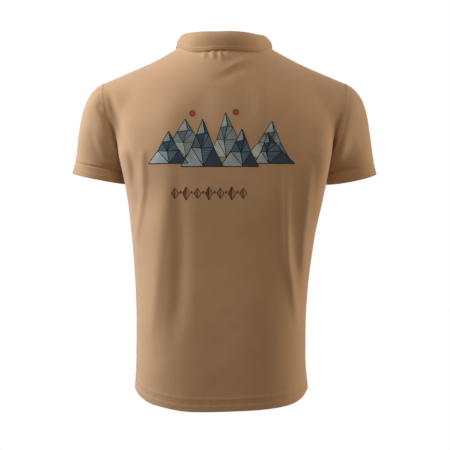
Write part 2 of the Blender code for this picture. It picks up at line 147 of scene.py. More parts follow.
# How many columns the vents spread over, and how many rows the join of tube and yoke
VENT_COLUMNS, JOIN_ROWS = 7, 18
# How far from a side seam and from the top seam the folds are at their full height
SIDE_CALM, TOP_CALM = 0.035, 0.012
# Relief along the seams and the hem
SEAM_DIP, SEAM_PUCKER, ARMHOLE_RIDGE = 0.0004, 0.00012, 0.0008
BAND_STEP, NEEDLE_DENT, BAND_RIDGE, HEM_RIPPLE = 0.0007, 0.0010, 0.0008, 0.00015


def smooth(table, key):
    """The table's columns at key, on a smooth curve through its rows. The first column is the key."""
    rows = np.array(table, float)
    keys, values = rows[:, 0], rows[:, 1:]
    slopes = np.gradient(values, keys, axis=0)
    key = np.clip(np.asarray(key, float), keys[0], keys[-1])
    i = np.clip(np.searchsorted(keys, key, side="right") - 1, 0, len(keys) - 2)
    width = (keys[i + 1] - keys[i])[..., None]
    f = (key - keys[i])[..., None] / width
    at = (2 * f**3 - 3 * f**2 + 1) * values[i] + (3 * f**2 - 2 * f**3) * values[i + 1]
    at = at + (f**3 - 2 * f**2 + f) * width * slopes[i] + (f**3 - f**2) * width * slopes[i + 1]
    return np.moveaxis(at, -1, 0)


def mirrored(table, odd):
    """A table by distance from the centre line, run on to the other side. Odd columns change sign."""
    rows = np.array(table, float)
    other = rows[:0:-1].copy()
    other[:, (0, *odd)] *= -1
    return np.concatenate([other, rows])


def points(x, y, z):
    return np.stack(np.broadcast_arrays(x, y, z), axis=-1).astype(float)


def unit(vectors):
    return vectors / np.maximum(np.linalg.norm(vectors, axis=-1, keepdims=True), 1e-12)


def bezier(start, handle_a, handle_b, end, at):
    at = np.asarray(at)[..., None]
    back = 1 - at
    return back**3 * start + 3 * back**2 * at * handle_a + 3 * back * at**2 * handle_b + at**3 * end


def lower_body(face, across, up):
    """The tube from the hem, up = 0, to the armpits, up = 1, with across from -1 to 1 on each face."""
    height = HEM_SIDE + up * (ARMPIT - HEM_SIDE)
    half, widest, back_y, front_y, power, side_angle, sway = smooth(SECTIONS, height)
    side = np.radians(side_angle)
    angle = across * side
    if face == "front":
        angle = np.where(across < 0, -1, 1) * (math.pi - np.abs(across) * (math.pi - side))
    sine, cosine = np.abs(np.sin(angle)), np.abs(np.cos(angle))
    behind = np.abs(angle) <= math.pi / 2
    radius = (sine**BACK_POWER + cosine**BACK_POWER) ** (-1 / BACK_POWER)
    out = np.where(behind, radius * sine, sine ** (2 / power))
    x = sway + half * np.sign(angle) * out
    deep = np.where(behind, (back_y - widest) * radius * cosine, (front_y - widest) * cosine ** (2 / power))
    hem = HEM_SIDE - smooth(HEM_DROP[face], across)[0]
    return points(x, widest + deep, ARMPIT + (hem - ARMPIT) * (1 - up))


def crest(across, flare):
    """The line of the shoulder seams, run on over the neck as if it had no opening."""
    x = TIP_X * np.abs(across)
    neck_height = TIP_Z + SHOULDER_SLOPE * (TIP_X - NECK_X) + flare
    over_neck = neck_height + (SHOULDER_SLOPE + flare / FLARE_WIDTH) * (NECK_X**2 - x**2) / (2 * NECK_X)
    out = np.maximum(x - NECK_X, 0)
    shoulder = TIP_Z + SHOULDER_SLOPE * (TIP_X - x) + flare * np.exp(-out / FLARE_WIDTH)
    y = NECK_Y + (TIP_Y - NECK_Y) * (x / TIP_X) ** 2
    return points(TIP_X * across, y, np.where(x < NECK_X, over_neck, shoulder))


def column(face, across, rise):
    """The part above the armpits, rise = 0, to the crest, rise = 1."""
    start, end = lower_body(face, across, np.ones_like(across)), crest(across, NECK_FLARE)
    out_a, y_a, up_a, out_b, y_b, up_b = smooth(mirrored(YOKE[face], (1, 4)), across)
    handle = crest(across, 0.0) + points(out_b, y_b, up_b)
    return bezier(start, start + points(out_a, y_a, up_a), handle, end, rise)


def neck_cut(face, across, lowest=0.3, halvings=30):
    """How far each column rises before it meets the neck opening, an oval seen from above."""
    low, high = np.full_like(across, lowest), np.ones_like(across)
    for _ in range(halvings):
        middle = (low + high) / 2
        x, y, _ = np.moveaxis(column(face, across, middle), -1, 0)
        outside = (x / NECK_X) ** 2 + ((y - NECK_Y) / NECK_DEPTH[face]) ** 2 > 1
        low, high = np.where(outside, middle, low), np.where(outside, high, middle)
    return low


def body_point(face, across, up):
    """A face of the body, up = 0 at the hem, 1 at the armpits and 2 at the top edge.

    Towards the top the columns of the neck close up sideways and stop at its opening.
    """
    across, up = np.broadcast_arrays(np.asarray(across, float), np.asarray(up, float))
    rise = np.clip(up - 1, 0, 1)
    share = np.clip(across / NECK_SHARE, -1, 1)
    closed_up = across + NECK_SHARE * (np.sin(share * math.pi / 2) - share) * rise**3
    cut = neck_cut(face, closed_up)
    late = np.minimum(0.7 * cut / np.maximum(1 - cut, 1e-6), 2)
    high = column(face, closed_up, rise * (1 - (1 - cut) * rise**late))
    low = lower_body(face, across, np.clip(up, 0, 1))
    return np.where((up <= 1)[..., None], low, high)


def grid_normals(grid, closed=False):
    """Unit normals of a grid of points, on the side where rows cross columns right-handed."""
    across = np.roll(grid, -1, 1) - np.roll(grid, 1, 1) if closed else np.gradient(grid, axis=1)
    return unit(np.cross(across, np.gradient(grid, axis=0)))


def from_edge(grid, axis, far=False):
    """The distance over the cloth from the near or the far edge of a grid of points."""
    steps = np.linalg.norm(np.diff(grid, axis=axis), axis=-1)
    walk = np.insert(np.cumsum(steps, axis=axis), 0, 0, axis=axis)
    return np.take(walk, [-1], axis=axis) - walk if far else walk


def from_sides(grid):
    """The distance over the cloth from the nearer of its side edges."""
    return np.minimum(from_edge(grid, 1), from_edge(grid, 1, far=True))


def eased(share):
    """From 0 to 1 with a soft start and a soft end."""
    share = np.clip(share, 0, 1)
    return share * share * (3 - 2 * share)


def ridge_at(distance, middle, half_width):
    """A smooth ridge, 1 high, along the line where the distance is middle."""
    return np.exp(-(((distance - middle) / half_width) ** 2))


def fold_relief(x, z, folds, steps=24):
    """How far folds stand out at the places x and z. Each is a smooth ridge or valley along its line."""
    height = np.zeros_like(x)
    place = np.stack([x, z], axis=-1)[..., None, :]
    for line in folds:
        rows = np.column_stack([np.linspace(0, 1, len(line)), line])
        curve = np.stack(smooth(rows, np.linspace(0, 1, steps + 1)), axis=-1) / 1000
        start, step = curve[:-1, :2], np.diff(curve[:, :2], axis=0)
        share = np.clip(((place - start) * step).sum(-1) / (step**2).sum(-1), 0, 1)
        gap = np.linalg.norm(place - start - share[..., None] * step, axis=-1)
        nearest = gap.argmin(axis=-1)[..., None]
        share, gap = (np.take_along_axis(a, nearest, -1)[..., 0] for a in (share, gap))
        nearest = nearest[..., 0]
        stands, half_width = (
            curve[nearest, i] * (1 - share) + curve[nearest + 1, i] * share for i in (2, 3)
        )
        height += stands * ridge_at(gap, 0, half_width)
    return height


def falling(x, z):
    """How far the back falls away at the places x and z."""
    total = np.zeros_like(x)
    for table in (LEFT_FALL, RIGHT_FALL):
        start, end, depth = smooth(np.array(table) / 1000, z)
        total -= depth * eased((x - start) / (end - start))
    return total


def back_hang(x, z):
    """How far the back stands out at the places x and z, over all its broad folds."""
    return fold_relief(x, z, BACK_FOLDS) + falling(x, z)


def wobble(grid, height, size, seed):
    """Smooth random unevenness over a grid of points, up to this high, in patches of this size."""
    flat = (grid.reshape(-1, 3) / size + seed).tolist()
    return height * np.array([noise.noise(Vector(p)) for p in flat]).reshape(grid.shape[:-1])


def ripple(along, length, drift, drift_length):
    """Waves this long along a seam, whose spacing drifts over a greater length."""
    turn = 2 * math.pi * along
    return np.sin(turn / length + drift * np.sin(turn / drift_length))


def seam_relief(distance, along, pucker=SEAM_PUCKER, dip=SEAM_DIP):
    """Cloth that dips into a seam and puckers along it, by the distance from the seam."""
    wave = ripple(along, 0.013, 1.4, 0.051)
    return pucker * wave * np.exp(-distance / 0.006) - dip * ridge_at(distance, 0, 0.0018)


def hem_relief(rise):
    """The hem, by the height above its edge: a band two cloths thick, dented along each needle line, with
    a soft ridge just above it."""
    band = BAND_STEP * np.clip((HEM_BAND - rise) / 0.003 + 0.5, 0, 1)
    dents = sum(ridge_at(rise, line, 0.0017) for line in NEEDLE_LINES)
    return band - NEEDLE_DENT * dents + BAND_RIDGE * ridge_at(rise, HEM_BAND + 0.002, 0.003)


def cloth(name, outer, thickness, material, closed=False, flip=False):
    """A closed sheet of cloth: outer points, inner points one thickness below, and a rim round them.

    A closed one is a tube. The UV map runs over the cloth in metres.
    """
    rows, columns = outer.shape[:2]
    inner = outer + (1 if flip else -1) * np.asarray(thickness)[..., None] * grid_normals(outer, closed)
    cells = columns if closed else columns - 1
    i, j = np.mgrid[0 : rows - 1, 0:cells]
    corners = [(i, j), (i, j + 1), (i + 1, j + 1), (i + 1, j)]
    i, j = np.arange(rows - 1), np.arange(cells)
    rims = [((0, j + 1), (0, j)), ((rows - 1, j), (rows - 1, j + 1))]
    if not closed:
        rims += [((i, 0), (i + 1, 0)), ((i + 1, columns - 1), (i, columns - 1))]

    def face_corners(width, under):
        """The corners of every face, for a grid this wide with its inner points numbered further on."""
        quads = np.stack([a * width + b % width for a, b in corners], -1).reshape(-1, 4)
        faces = [quads, quads[:, ::-1] + under]
        for edge in rims:
            first, second = (a * width + b % width for a, b in edge)
            faces.append(np.stack([first, second, second + under, first + under], -1))
        return np.concatenate(faces)[:, :: -1 if flip else 1]

    mesh = bpy.data.meshes.new(name)
    verts = np.concatenate([outer.reshape(-1, 3), inner.reshape(-1, 3)])
    mesh.from_pydata(verts.tolist(), [], face_corners(columns, rows * columns).tolist())
    spread = np.concatenate([outer, outer[:, :1]], axis=1) if closed else outer
    u, v = from_edge(spread, 1), from_edge(spread, 0)
    uv = np.stack([u - u[:, (cells + 1) // 2, None], v], -1).reshape(-1, 2)
    layer = mesh.uv_layers.new(name="cloth")
    layer.data.foreach_set("uv", uv[face_corners(cells + 1, 0).ravel()].ravel())
    coated(mesh, material, 55)
    return shown(name, mesh)


def coated(mesh, material, sharp_from):
    """Gives a mesh its one material and smooth shading, with edges sharp from this angle in degrees."""
    mesh.materials.clear()
    mesh.materials.append(material)
    mesh.shade_smooth()
    mesh.set_sharp_from_angle(angle=math.radians(sharp_from))


def shown(name, data):
    """An object of the scene with this mesh, curve, lamp or camera, at the origin."""
    piece = bpy.data.objects.new(name, data)
    bpy.context.collection.objects.link(piece)
    return piece


def colour(hexed):
    """An sRGB hex colour as the linear values that a shader works in."""
    srgb = [int(hexed[i : i + 2], 16) / 255 for i in (1, 3, 5)]
    return (*(c / 12.92 if c <= 0.04045 else ((c + 0.055) / 1.055) ** 2.4 for c in srgb), 1.0)


def node(tree, kind, inputs=(), **settings):
    """Adds a shader or geometry node. An input is a value, or another node's output to link."""
    made = tree.nodes.new(kind)
    for key, value in settings.items():
        setattr(made, key, value)
    for key, value in dict(inputs).items():
        if isinstance(value, bpy.types.NodeSocket):
            tree.links.new(value, made.inputs[key])
        else:
            made.inputs[key].default_value = value
    return made


def new_material(name, base, roughness, more=()):
    """A named material, its node tree and its Principled shader. More values go by their sockets' names."""
    material = bpy.data.materials.new(name)
    material.use_nodes = True
    shader = material.node_tree.nodes["Principled BSDF"]
    for socket, value in {"Base Color": colour(base), "Roughness": roughness, **dict(more)}.items():
        shader.inputs[socket].default_value = value
    return material, material.node_tree, shader


def on_object(tree):
    """Places fixed to the object, in metres."""
    return node(tree, "ShaderNodeTexCoord").outputs["Object"]


def on_cloth(tree):
    """Places over the cloth, in metres."""
    return node(tree, "ShaderNodeUVMap", uv_map="cloth").outputs[0]


def clouds(tree, place, scale, detail, **more):
    """Cloudy noise, as a factor."""
    inputs = {"Vector": place, "Scale": scale, "Detail": detail, **more}
    return node(tree, "ShaderNodeTexNoise", inputs).outputs[0]


def worked_out(tree, operation, *values):
    """The result of a sum or other operation."""
    return node(tree, "ShaderNodeMath", dict(enumerate(values)), operation=operation).outputs[0]


def ranged(tree, value, *limits):
    """A value taken from one range to another, which is 0 to 1 where it isn't given."""
    return node(tree, "ShaderNodeMapRange", dict(enumerate((value, *limits)))).outputs[0]


def tinted(tree, shader, factor, low, high):
    """Makes the base colour run from one colour to another with a factor from 0 to 1."""
    mix = node(tree, "ShaderNodeMix", {0: factor, 6: colour(low), 7: colour(high)}, data_type="RGBA")
    tree.links.new(mix.outputs[2], shader.inputs["Base Color"])


def raised(tree, shader, height, strength, distance=0.0003, invert=False):
    """Makes the surface rise with a height, or sink with it."""
    inputs = {"Height": height, "Strength": strength, "Distance": distance}
    bump = node(tree, "ShaderNodeBump", inputs, invert=invert)
    tree.links.new(bump.outputs[0], shader.inputs["Normal"])


def pique_cells(tree):
    """Rows of small raised cells set on the diagonal, as a depth, and the turned places that they lie at.
    The real ones are 1.1 mm apart, and they are drawn 1.8 mm apart to show."""
    turn = {"Vector": on_cloth(tree), "Rotation": (0, 0, math.radians(45)), "Scale": (1 / 0.0018,) * 3}
    turned = node(tree, "ShaderNodeMapping", turn).outputs[0]
    cells = {"Vector": turned, "Scale": 1.0, "Randomness": 0.12}
    return node(tree, "ShaderNodeTexVoronoi", cells, voronoi_dimensions="2D").outputs["Distance"], turned


# The short fuzz of washed cotton, which lightens it where it turns away, and its weak shine
COTTON_FUZZ = {"Sheen Weight": 0.22, "Sheen Roughness": 0.45, "Specular IOR Level": 0.25}


def pique_cotton():
    """Combed cotton pique, piece-dyed and washed: matt, fuzzy, with small raised cells."""
    material, tree, shader = new_material("dyed cotton pique", "#B9946E", 0.88, COTTON_FUZZ)
    cells, turned = pique_cells(tree)
    patches = clouds(tree, on_object(tree), 9.0, 4.0, Roughness=0.6)
    shade = worked_out(tree, "ADD", patches, clouds(tree, turned, 0.9, 2.0))
    tinted(tree, shader, ranged(tree, shade, 0.7, 1.3), "#B48F69", "#BE9973")
    raised(tree, shader, cells, 0.35, invert=True)
    return material


def body_places():
    """Places across a face, with the corner of the neck on one of them and fine steps at the side seams."""
    neck = np.linspace(0, NECK_SHARE, NECK_CELLS + 1)
    shoulder = np.linspace(NECK_SHARE, SIDE_PLACES[0], SHOULDER_CELLS + 1)[1:]
    half = np.concatenate([neck, shoulder, SIDE_PLACES[1:]])
    return np.concatenate([-half[:0:-1], half])


def body_levels():
    """Levels up a face, closer together over the hem and towards the top edge."""
    hem = np.linspace(0, HEM_SHARE, HEM_CELLS + 1)
    lower = np.linspace(HEM_SHARE, 1, LOWER_CELLS + 1)[1:]
    upper = 2 - (1 - np.linspace(0, 1, YOKE_CELLS + 1)[1:]) ** 1.3
    return np.concatenate([hem, lower, upper])


def open_vents(grid):
    """Spreads the side edges apart below the top of the vents."""
    grid = grid.copy()
    for rim, step in ((0, 1), (-1, -1)):
        inside = rim + step * VENT_COLUMNS
        below = np.clip((VENT_TOP - grid[:, rim, 2]) / (VENT_TOP - HEM_SIDE), 0, 1)[:, None]
        shift = VENT_OPEN * below * unit(grid[:, inside] - grid[:, rim])
        for i in range(VENT_COLUMNS):
            grid[:, rim + step * i] += shift * (1 - i / VENT_COLUMNS)
    return grid


def evened(grid, share, passes):
    """Moves the points of a grid towards the middle of those above and below, by their shares."""
    for _ in range(passes):
        grid[1:-1] += share[1:-1, :, None] / 2 * ((grid[:-2] + grid[2:]) / 2 - grid[1:-1])


def face_base(face):
    """The plain points of one face of the body, evened at the join of tube and yoke and across the yoke."""
    grid = body_point(face, PLACES[None, :], LEVELS[:, None])
    near_join = eased(1 - np.abs(np.arange(len(LEVELS)) - np.searchsorted(LEVELS, 1)) / JOIN_ROWS)
    evened(grid, near_join[:, None] * eased(from_sides(grid) / 0.04), passes=80)
    in_yoke = eased((LEVELS[:, None] - 1) / 0.2) * eased(from_edge(grid, 0, far=True) / 0.03)
    evened(grid.swapaxes(0, 1), (in_yoke * eased(from_sides(grid) / 0.02)).T, passes=70)
    return grid


def body_grid(face, hang, creases, seed):
    """The outer points of one face of the body, with its folds, seams and hem, and its thickness."""
    out = -1 if face == "back" else 1
    grid = face_base(face)
    from_side, from_top = from_sides(grid), from_edge(grid, 0, far=True)
    rise, along_top = from_edge(grid, 0), from_edge(grid, 1)
    calm = eased(from_side / SIDE_CALM) * eased(from_top / TOP_CALM)
    above_armpit = eased((grid[..., 2] - ARMPIT) / ARMHOLE_RISE) if face == "back" else 0
    hung = np.maximum(calm, above_armpit) * hang(grid[..., 0], grid[..., 2])
    hung += eased(from_side / 0.007) * fold_relief(grid[..., 0], grid[..., 2], creases)
    grid[..., 1] += out * hung
    outward = -out * grid_normals(grid)
    relief = calm * (wobble(grid, 0.0006, 0.060, seed) + wobble(grid, 0.0002, 0.022, seed + 5))
    dip = np.where(grid[..., 2] > ARMPIT + 0.01, -ARMHOLE_RIDGE, SEAM_DIP)
    relief += seam_relief(from_side, rise, dip=dip) + seam_relief(from_top, along_top) + hem_relief(rise)
    relief += HEM_RIPPLE * ripple(along_top, 0.016, 1.7, 0.09) * ridge_at(rise, 0.017, 0.012)
    thickness = CLOTH * (1 + np.clip((HEM_BAND - rise) / 0.0015 + 0.5, 0, 1))
    return open_vents(grid + relief[..., None] * outward), thickness


PLACES, LEVELS = body_places(), body_levels()
pique = pique_cotton()
back_grid, back_thickness = body_grid("back", back_hang, BACK_CREASES, 3.1)
back = cloth("back_cloth", back_grid, back_thickness, pique)
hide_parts("back_panel")
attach(back, "root")

# Front panel
# The same knit, with a round neckline and a slot down its middle for the placket. It is a little
# shorter than the back and hangs smooth over the chest.
PLACKET_HALF, PLACKET_BOTTOM = 0.015, -0.232
FRONT_FOLDS = (
    ((-150, -240, 0, 16), (-132, -300, 3, 16), (-122, -380, 4, 16), (-124, -470, 3, 16),
     (-130, -570, 0, 16)),
    ((-92, -300, 0, 15), (-84, -380, -3, 15), (-84, -470, -3.5, 15), (-90, -580, -1, 15),
     (-92, -640, 0, 15)),
    ((146, -240, 0, 16), (130, -310, 3, 16), (118, -400, 4, 16), (122, -500, 3, 16), (132, -600, 0, 16)),
    ((70, -320, 0, 14), (78, -400, -2.5, 14), (82, -490, -3, 14), (80, -600, 0, 14)),
    ((190, -120, 0, 14), (180, -160, -3, 14), (168, -205, -4, 16), (156, -260, 0, 16)),
    ((-190, -120, 0, 14), (-180, -158, -3, 14), (-168, -200, -4, 16), (-154, -256, 0, 16)),
    ((-60, -60, 0, 13), (-74, -120, 1.5, 13), (-92, -180, 0, 13)),
    ((58, -66, 0, 13), (76, -130, 1.5, 13), (90, -184, 0, 13)),
    ((18, -240, 0, 10), (26, -290, 2, 10), (30, -350, 0, 10)),
)
SLOT_LOW, SLOT_HIGH = Vector((-PLACKET_HALF, 0.02, PLACKET_BOTTOM)), Vector((PLACKET_HALF, 0.2, 0.05))


def plain_mesh(piece):
    """The mesh that a piece comes to with its modifiers."""
    return bpy.data.meshes.new_from_object(piece.evaluated_get(bpy.context.evaluated_depsgraph_get()))


def as_plain_mesh(piece):
    """Replaces a piece's mesh by what its modifiers make of it, and removes them."""
    piece.data = plain_mesh(piece)
    piece.modifiers.clear()


def cut_with(piece, cutter_mesh):
    """Cuts one mesh out of a piece and leaves a plain mesh."""
    cutter = shown("cutter", cutter_mesh)
    cut = piece.modifiers.new("cut", "BOOLEAN")
    cut.object = cutter
    as_plain_mesh(piece)
    bpy.data.objects.remove(cutter)


def mesh_from(name, bm):
    """A new mesh made from a bmesh, which is freed."""
    mesh = bpy.data.meshes.new(name)
    bm.to_mesh(mesh)
    bm.free()
    return mesh


def slot_block():
    """The block of space that the placket's slot takes out of the front."""
    bm = bmesh.new()
    block = Matrix.LocRotScale((SLOT_LOW + SLOT_HIGH) / 2, None, SLOT_HIGH - SLOT_LOW)
    bmesh.ops.create_cube(bm, size=1, matrix=block)
    return mesh_from("slot", bm)


def front_hang(x, z):
    return fold_relief(x, z, FRONT_FOLDS)


front_grid, front_thickness = body_grid("front", front_hang, (), 8.4)
front = cloth("front_cloth", front_grid, front_thickness, pique, flip=True)
cut_with(front, slot_block())
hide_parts("front_panel")
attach(front, "root")

# Sleeves
# Short set-in sleeves, one piece each, closed by a seam under the arm. Their heads are eased into
# the armholes, where the seam turns towards the sleeve and stands up as a soft ridge.
CUFF_OUTER_X, CUFF_OUTER_Z, CUFF_Y = 0.3135, -0.251, 0.034
CUFF_RADIUS, CUFF_DEPTH, CUFF_HEIGHT = 0.0545, 0.053, 0.025
CUFF_SLOPE = 0.2
CUFF_TIP = {"left": 0.06, "right": 0.14}
# distance from shoulder tip to armpit, outward, away from the middle in y, up, reach at the band
SLEEVE = (
    (0.00, 0.052, 0.000, -0.020, 0.050),
    (0.25, 0.044, 0.004, -0.022, 0.044),
    (0.50, 0.028, 0.006, -0.026, 0.034),
    (0.75, 0.018, 0.006, -0.018, 0.020),
    (1.00, 0.014, 0.000, -0.004, 0.010),
)
SLEEVE_FOLDS = {
    ("left", "back"): (
        ((-255, -113, 0, 6), (-250, -123, -1.8, 6), (-240, -142, -1.8, 6), (-233, -155, 0, 6)),
        ((-262, -160, 0, 8), (-254, -186, 1.6, 8), (-247, -206, 1.6, 8), (-242, -226, 0, 8)),
        ((-234, -112, 0, 20), (-231, -145, 6, 22), (-227, -180, 8, 22), (-224, -215, 8, 22),
         (-224, -255, 6, 22)),
    ),
    ("left", "front"): (
        ((-236, -120, 0, 9), (-246, -150, -1.5, 9), (-252, -190, -1, 9), (-254, -220, 0, 9)),
    ),
    ("right", "back"): (
        ((284, -110, 0, 6), (276, -122, -1.2, 6), (266, -134, 0, 6)),
        ((262, -165, 0, 9), (266, -190, 1, 9), (268, -215, 0, 9)),
        ((236, -115, 0, 20), (232, -150, 6, 22), (228, -185, 9, 22), (224, -220, 9, 22),
         (224, -255, 7, 22)),
    ),
    ("right", "front"): (
        ((236, -118, 0, 9), (247, -152, -1.5, 9), (254, -188, -1, 9), (256, -220, 0, 9)),
    ),
}
SLEEVE_CELLS, SLEEVE_GIRTH = 168, 0.35
SLEEVE_CALM = 0.015
AROUND_SLEEVE = np.arange(SLEEVE_CELLS) / SLEEVE_CELLS
ALONG_SLEEVE = np.concatenate([[0, 0.006, 0.014, 0.024], np.linspace(0.04, 0.96, 56), [0.975, 0.99, 1]])
HEAD_RIDGE, HEAD_PUCKER = 0.0009, 0.0002
BAND_DIP, BAND_SEAM_RIDGE = 0.0012, 0.0006


def armhole(side, around):
    """The armhole, from the shoulder tip down the back to the armpit and up the front."""
    back_edge = column("back", np.full_like(around, side), np.clip(1 - 2 * around, 0, 1))
    front_edge = column("front", np.full_like(around, side), np.clip(2 * around - 1, 0, 1))
    return np.where((around <= 0.5)[:, None], back_edge, front_edge)


def band_ring(name, side, around, above):
    """A ring round the sleeve band, this far above its free edge, and the way down the band."""
    inward = unit(np.array([-side, 0, -CUFF_SLOPE]))
    forward = unit(np.array([0, 1, CUFF_TIP[name]]))
    down = unit(np.array([side * CUFF_SLOPE, 0, -1]))
    centre = np.array([side * CUFF_OUTER_X, CUFF_Y, CUFF_OUTER_Z]) + CUFF_RADIUS * inward - above * down
    turn = 2 * math.pi * around[:, None]
    return centre - CUFF_RADIUS * np.cos(turn) * inward - CUFF_DEPTH * np.sin(turn) * forward, down


def sleeve_grid(name, side, around, along):
    """The plain sleeve between armhole and band."""
    start = armhole(side, around)
    shift = -eased((start[:, 2] - ARMPIT) / ARMHOLE_RISE) * back_hang(start[:, 0], start[:, 2])
    start[:, 1] += np.where(around <= 0.5, shift, 0)
    end, down = band_ring(name, side, around, CUFF_HEIGHT)
    turned = np.where(around <= 0.5, 2 * around, 2 * around - 2)
    out, away, up, reach = smooth(mirrored(SLEEVE, (2,)), turned)
    handle = start + points(side * out, -away, up)
    return bezier(start, handle, end - reach[:, None] * down, end, along[:, None])


def make_sleeve(name, side, seed):
    """One sleeve's cloth. Returns its outer points."""
    grid = sleeve_grid(name, side, AROUND_SLEEVE, ALONG_SLEEVE)
    outward = grid_normals(grid, closed=True) * side
    from_armhole, from_band = from_edge(grid, 0), from_edge(grid, 0, far=True)
    around_line = from_edge(grid, 1)
    relief = wobble(grid, 0.0008, 0.045, seed) + wobble(grid, 0.0003, 0.02, seed + 2)
    for face, sign in (("back", -1), ("front", 1)):
        facing = np.clip(sign * outward[..., 1] * 3 + 0.5, 0, 1)
        relief += facing * fold_relief(grid[..., 0], grid[..., 2], SLEEVE_FOLDS[name, face])
    relief *= eased(from_armhole / SLEEVE_CALM) * eased(from_band / SLEEVE_CALM)
    relief += seam_relief(from_armhole, around_line, dip=0.0)
    relief += seam_relief(from_band, around_line, dip=BAND_DIP)
    relief += HEAD_RIDGE * ridge_at(from_armhole, 0.0010, 0.0024)
    relief += BAND_SEAM_RIDGE * ridge_at(from_band, 0.0045, 0.0025)
    from_under_seam = np.broadcast_to(np.abs(AROUND_SLEEVE - 0.5) * SLEEVE_GIRTH, relief.shape)
    relief += seam_relief(from_under_seam, from_armhole, HEAD_PUCKER)
    grid = grid + relief[..., None] * outward
    piece = cloth("sleeve_cloth_" + name, grid, CLOTH, pique, closed=True, flip=side < 0)
    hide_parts("sleeve_" + name)
    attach(piece, "root")
    return grid


sleeve_grids = {"left": make_sleeve("left", -1, 12.7), "right": make_sleeve("right", 1, 17.9)}

# Sleeve bands
# Flat-knitted rib, cut to length, closed into a ring and sewn to the sleeve. A few heavier courses
# run round it near its free edge.
RIB_KNIT = 0.0014
BAND_COURSES = (0.0030, 0.0062, 0.0094)
COURSE_HEIGHT, COURSE_WIDTH, EDGE_ROLL = 0.0008, 0.0009, 0.0008
BAND_ROWS = 34


def waves(tree, place, spacing):
    """Even waves this far apart along the first axis of a place, from -1 to 1."""
    first = node(tree, "ShaderNodeSeparateXYZ", {0: place}).outputs[0]
    return worked_out(tree, "SINE", worked_out(tree, "MULTIPLY", first, 2 * math.pi / spacing))


def rib_knit():
    """Flat rib knit in the same cotton: matt, fuzzy, with fine upright ribs. The real ribs are 1.2 mm
    apart, and they are drawn 2 mm apart to show."""
    material, tree, shader = new_material("flat rib knit cotton", "#B8936D", 0.9, COTTON_FUZZ)
    ribs = waves(tree, on_cloth(tree), 0.002)
    # Painted shade: the ribs colour the knit darker in the grooves between them and lighter on their
    # crests, on top of random patches of tone.
    shade = worked_out(tree, "MULTIPLY_ADD", ribs, 0.12, clouds(tree, on_object(tree), 14.0, 4.0))
    tinted(tree, shader, ranged(tree, shade, 0.25, 0.75), "#B18C66", "#BD9872")
    raised(tree, shader, ribs, 0.3)
    return material


def make_band(name, side):
    """One sleeve band, a ring of rows from its seam down to its free edge."""
    above = np.linspace(CUFF_HEIGHT, 0, BAND_ROWS)
    grid = np.array([band_ring(name, side, AROUND_SLEEVE, height)[0] for height in above])
    outward = grid_normals(grid, closed=True) * side
    rise = from_edge(grid, 0, far=True)
    relief = seam_relief(from_edge(grid, 0), from_edge(grid, 1), dip=BAND_DIP)
    relief += COURSE_HEIGHT * sum(ridge_at(rise, course, COURSE_WIDTH) for course in BAND_COURSES)
    relief += wobble(grid, 0.0006, 0.03, 4.4) + EDGE_ROLL * ridge_at(rise, 0, 0.004)
    grid = grid + relief[..., None] * outward
    piece = cloth("rib_band_" + name, grid, RIB_KNIT, rib, closed=True, flip=side < 0)
    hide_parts("cuff_" + name)
    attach(piece, "root")


rib = rib_knit()
make_band("left", -1)
make_band("right", 1)

# Collar
# One flat-knitted rib piece, sewn to the neckline with its outer edge free. It stands up inside,
# turns over at the top and falls outside, and ends in two points at the front.
FOLD_RADIUS, FALL_BOW = 0.0022, 0.0035
COLLAR_LIFT, COLLAR_INSET = 0.0012, 0.0006
COLLAR_COURSES = (0.0038, 0.0072)
# How much lower the fold lies on its right, and how much of that pulls its edge in
LOW_SIDE, LOW_PULL = 0.0056, 0.6
# distance from centre back, fold (x, y, z), outer edge (x, y, z)
COLLAR = (
    (0.00, 0.000, -0.0800, 0.0215, 0.000, -0.0880, -0.0128),
    (0.25, 0.059, -0.0580, 0.0230, 0.067, -0.0660, -0.0112),
    (0.45, 0.086, -0.0060, 0.0255, 0.0920, -0.0080, -0.0025),
    (0.60, 0.086, 0.0290, 0.0150, 0.0980, 0.0390, -0.0145),
    (0.80, 0.058, 0.0660, -0.0200, 0.0866, 0.0762, -0.0775),
    (1.00, 0.008, 0.0840, -0.0580, 0.0455, 0.0985, -0.1225),
)
STAND_ROWS, FOLD_ROWS, FALL_ROWS, COLLAR_COLUMNS = 15, 8, 34, 241
COLLAR_COURSE, COLLAR_COURSE_WIDTH = 0.0009, 0.0011
# The free edge is thinner: by what share, and over what width
EDGE_SHARE, EDGE_TAPER = 0.55, 0.003
# How close the collar's edge lies on the body, and how much of its fall goes down with it
COLLAR_GAP, COLLAR_REACH = 0.0003, 0.030


def read_along(line, keys, at):
    """The points of a line, between its own, where its keys reach these values."""
    return np.stack([np.interp(at, keys, line[:, i]) for i in range(3)], axis=-1)


def neck_seam(along):
    """The seam between body and collar, from the centre back to the centre front on one side."""
    quarter = np.linspace(0, NECK_SHARE, 65)
    line = np.concatenate([body_point("back", quarter, 2), body_point("front", quarter[:-1], 2)[::-1]])
    depth = np.where(line[:, 1] < NECK_Y, NECK_DEPTH["back"], NECK_DEPTH["front"])
    turn = np.arctan2(line[:, 0] / NECK_X, (NECK_Y - line[:, 1]) / depth) / math.pi
    seam = read_along(line, turn, np.clip(np.abs(along), 0, 0.98))
    seam[:, 0] *= np.where(along < 0, -1, 1)
    return seam - COLLAR_INSET * unit(seam * np.array([1, 1, 0])) + np.array([0, 0, COLLAR_LIFT])


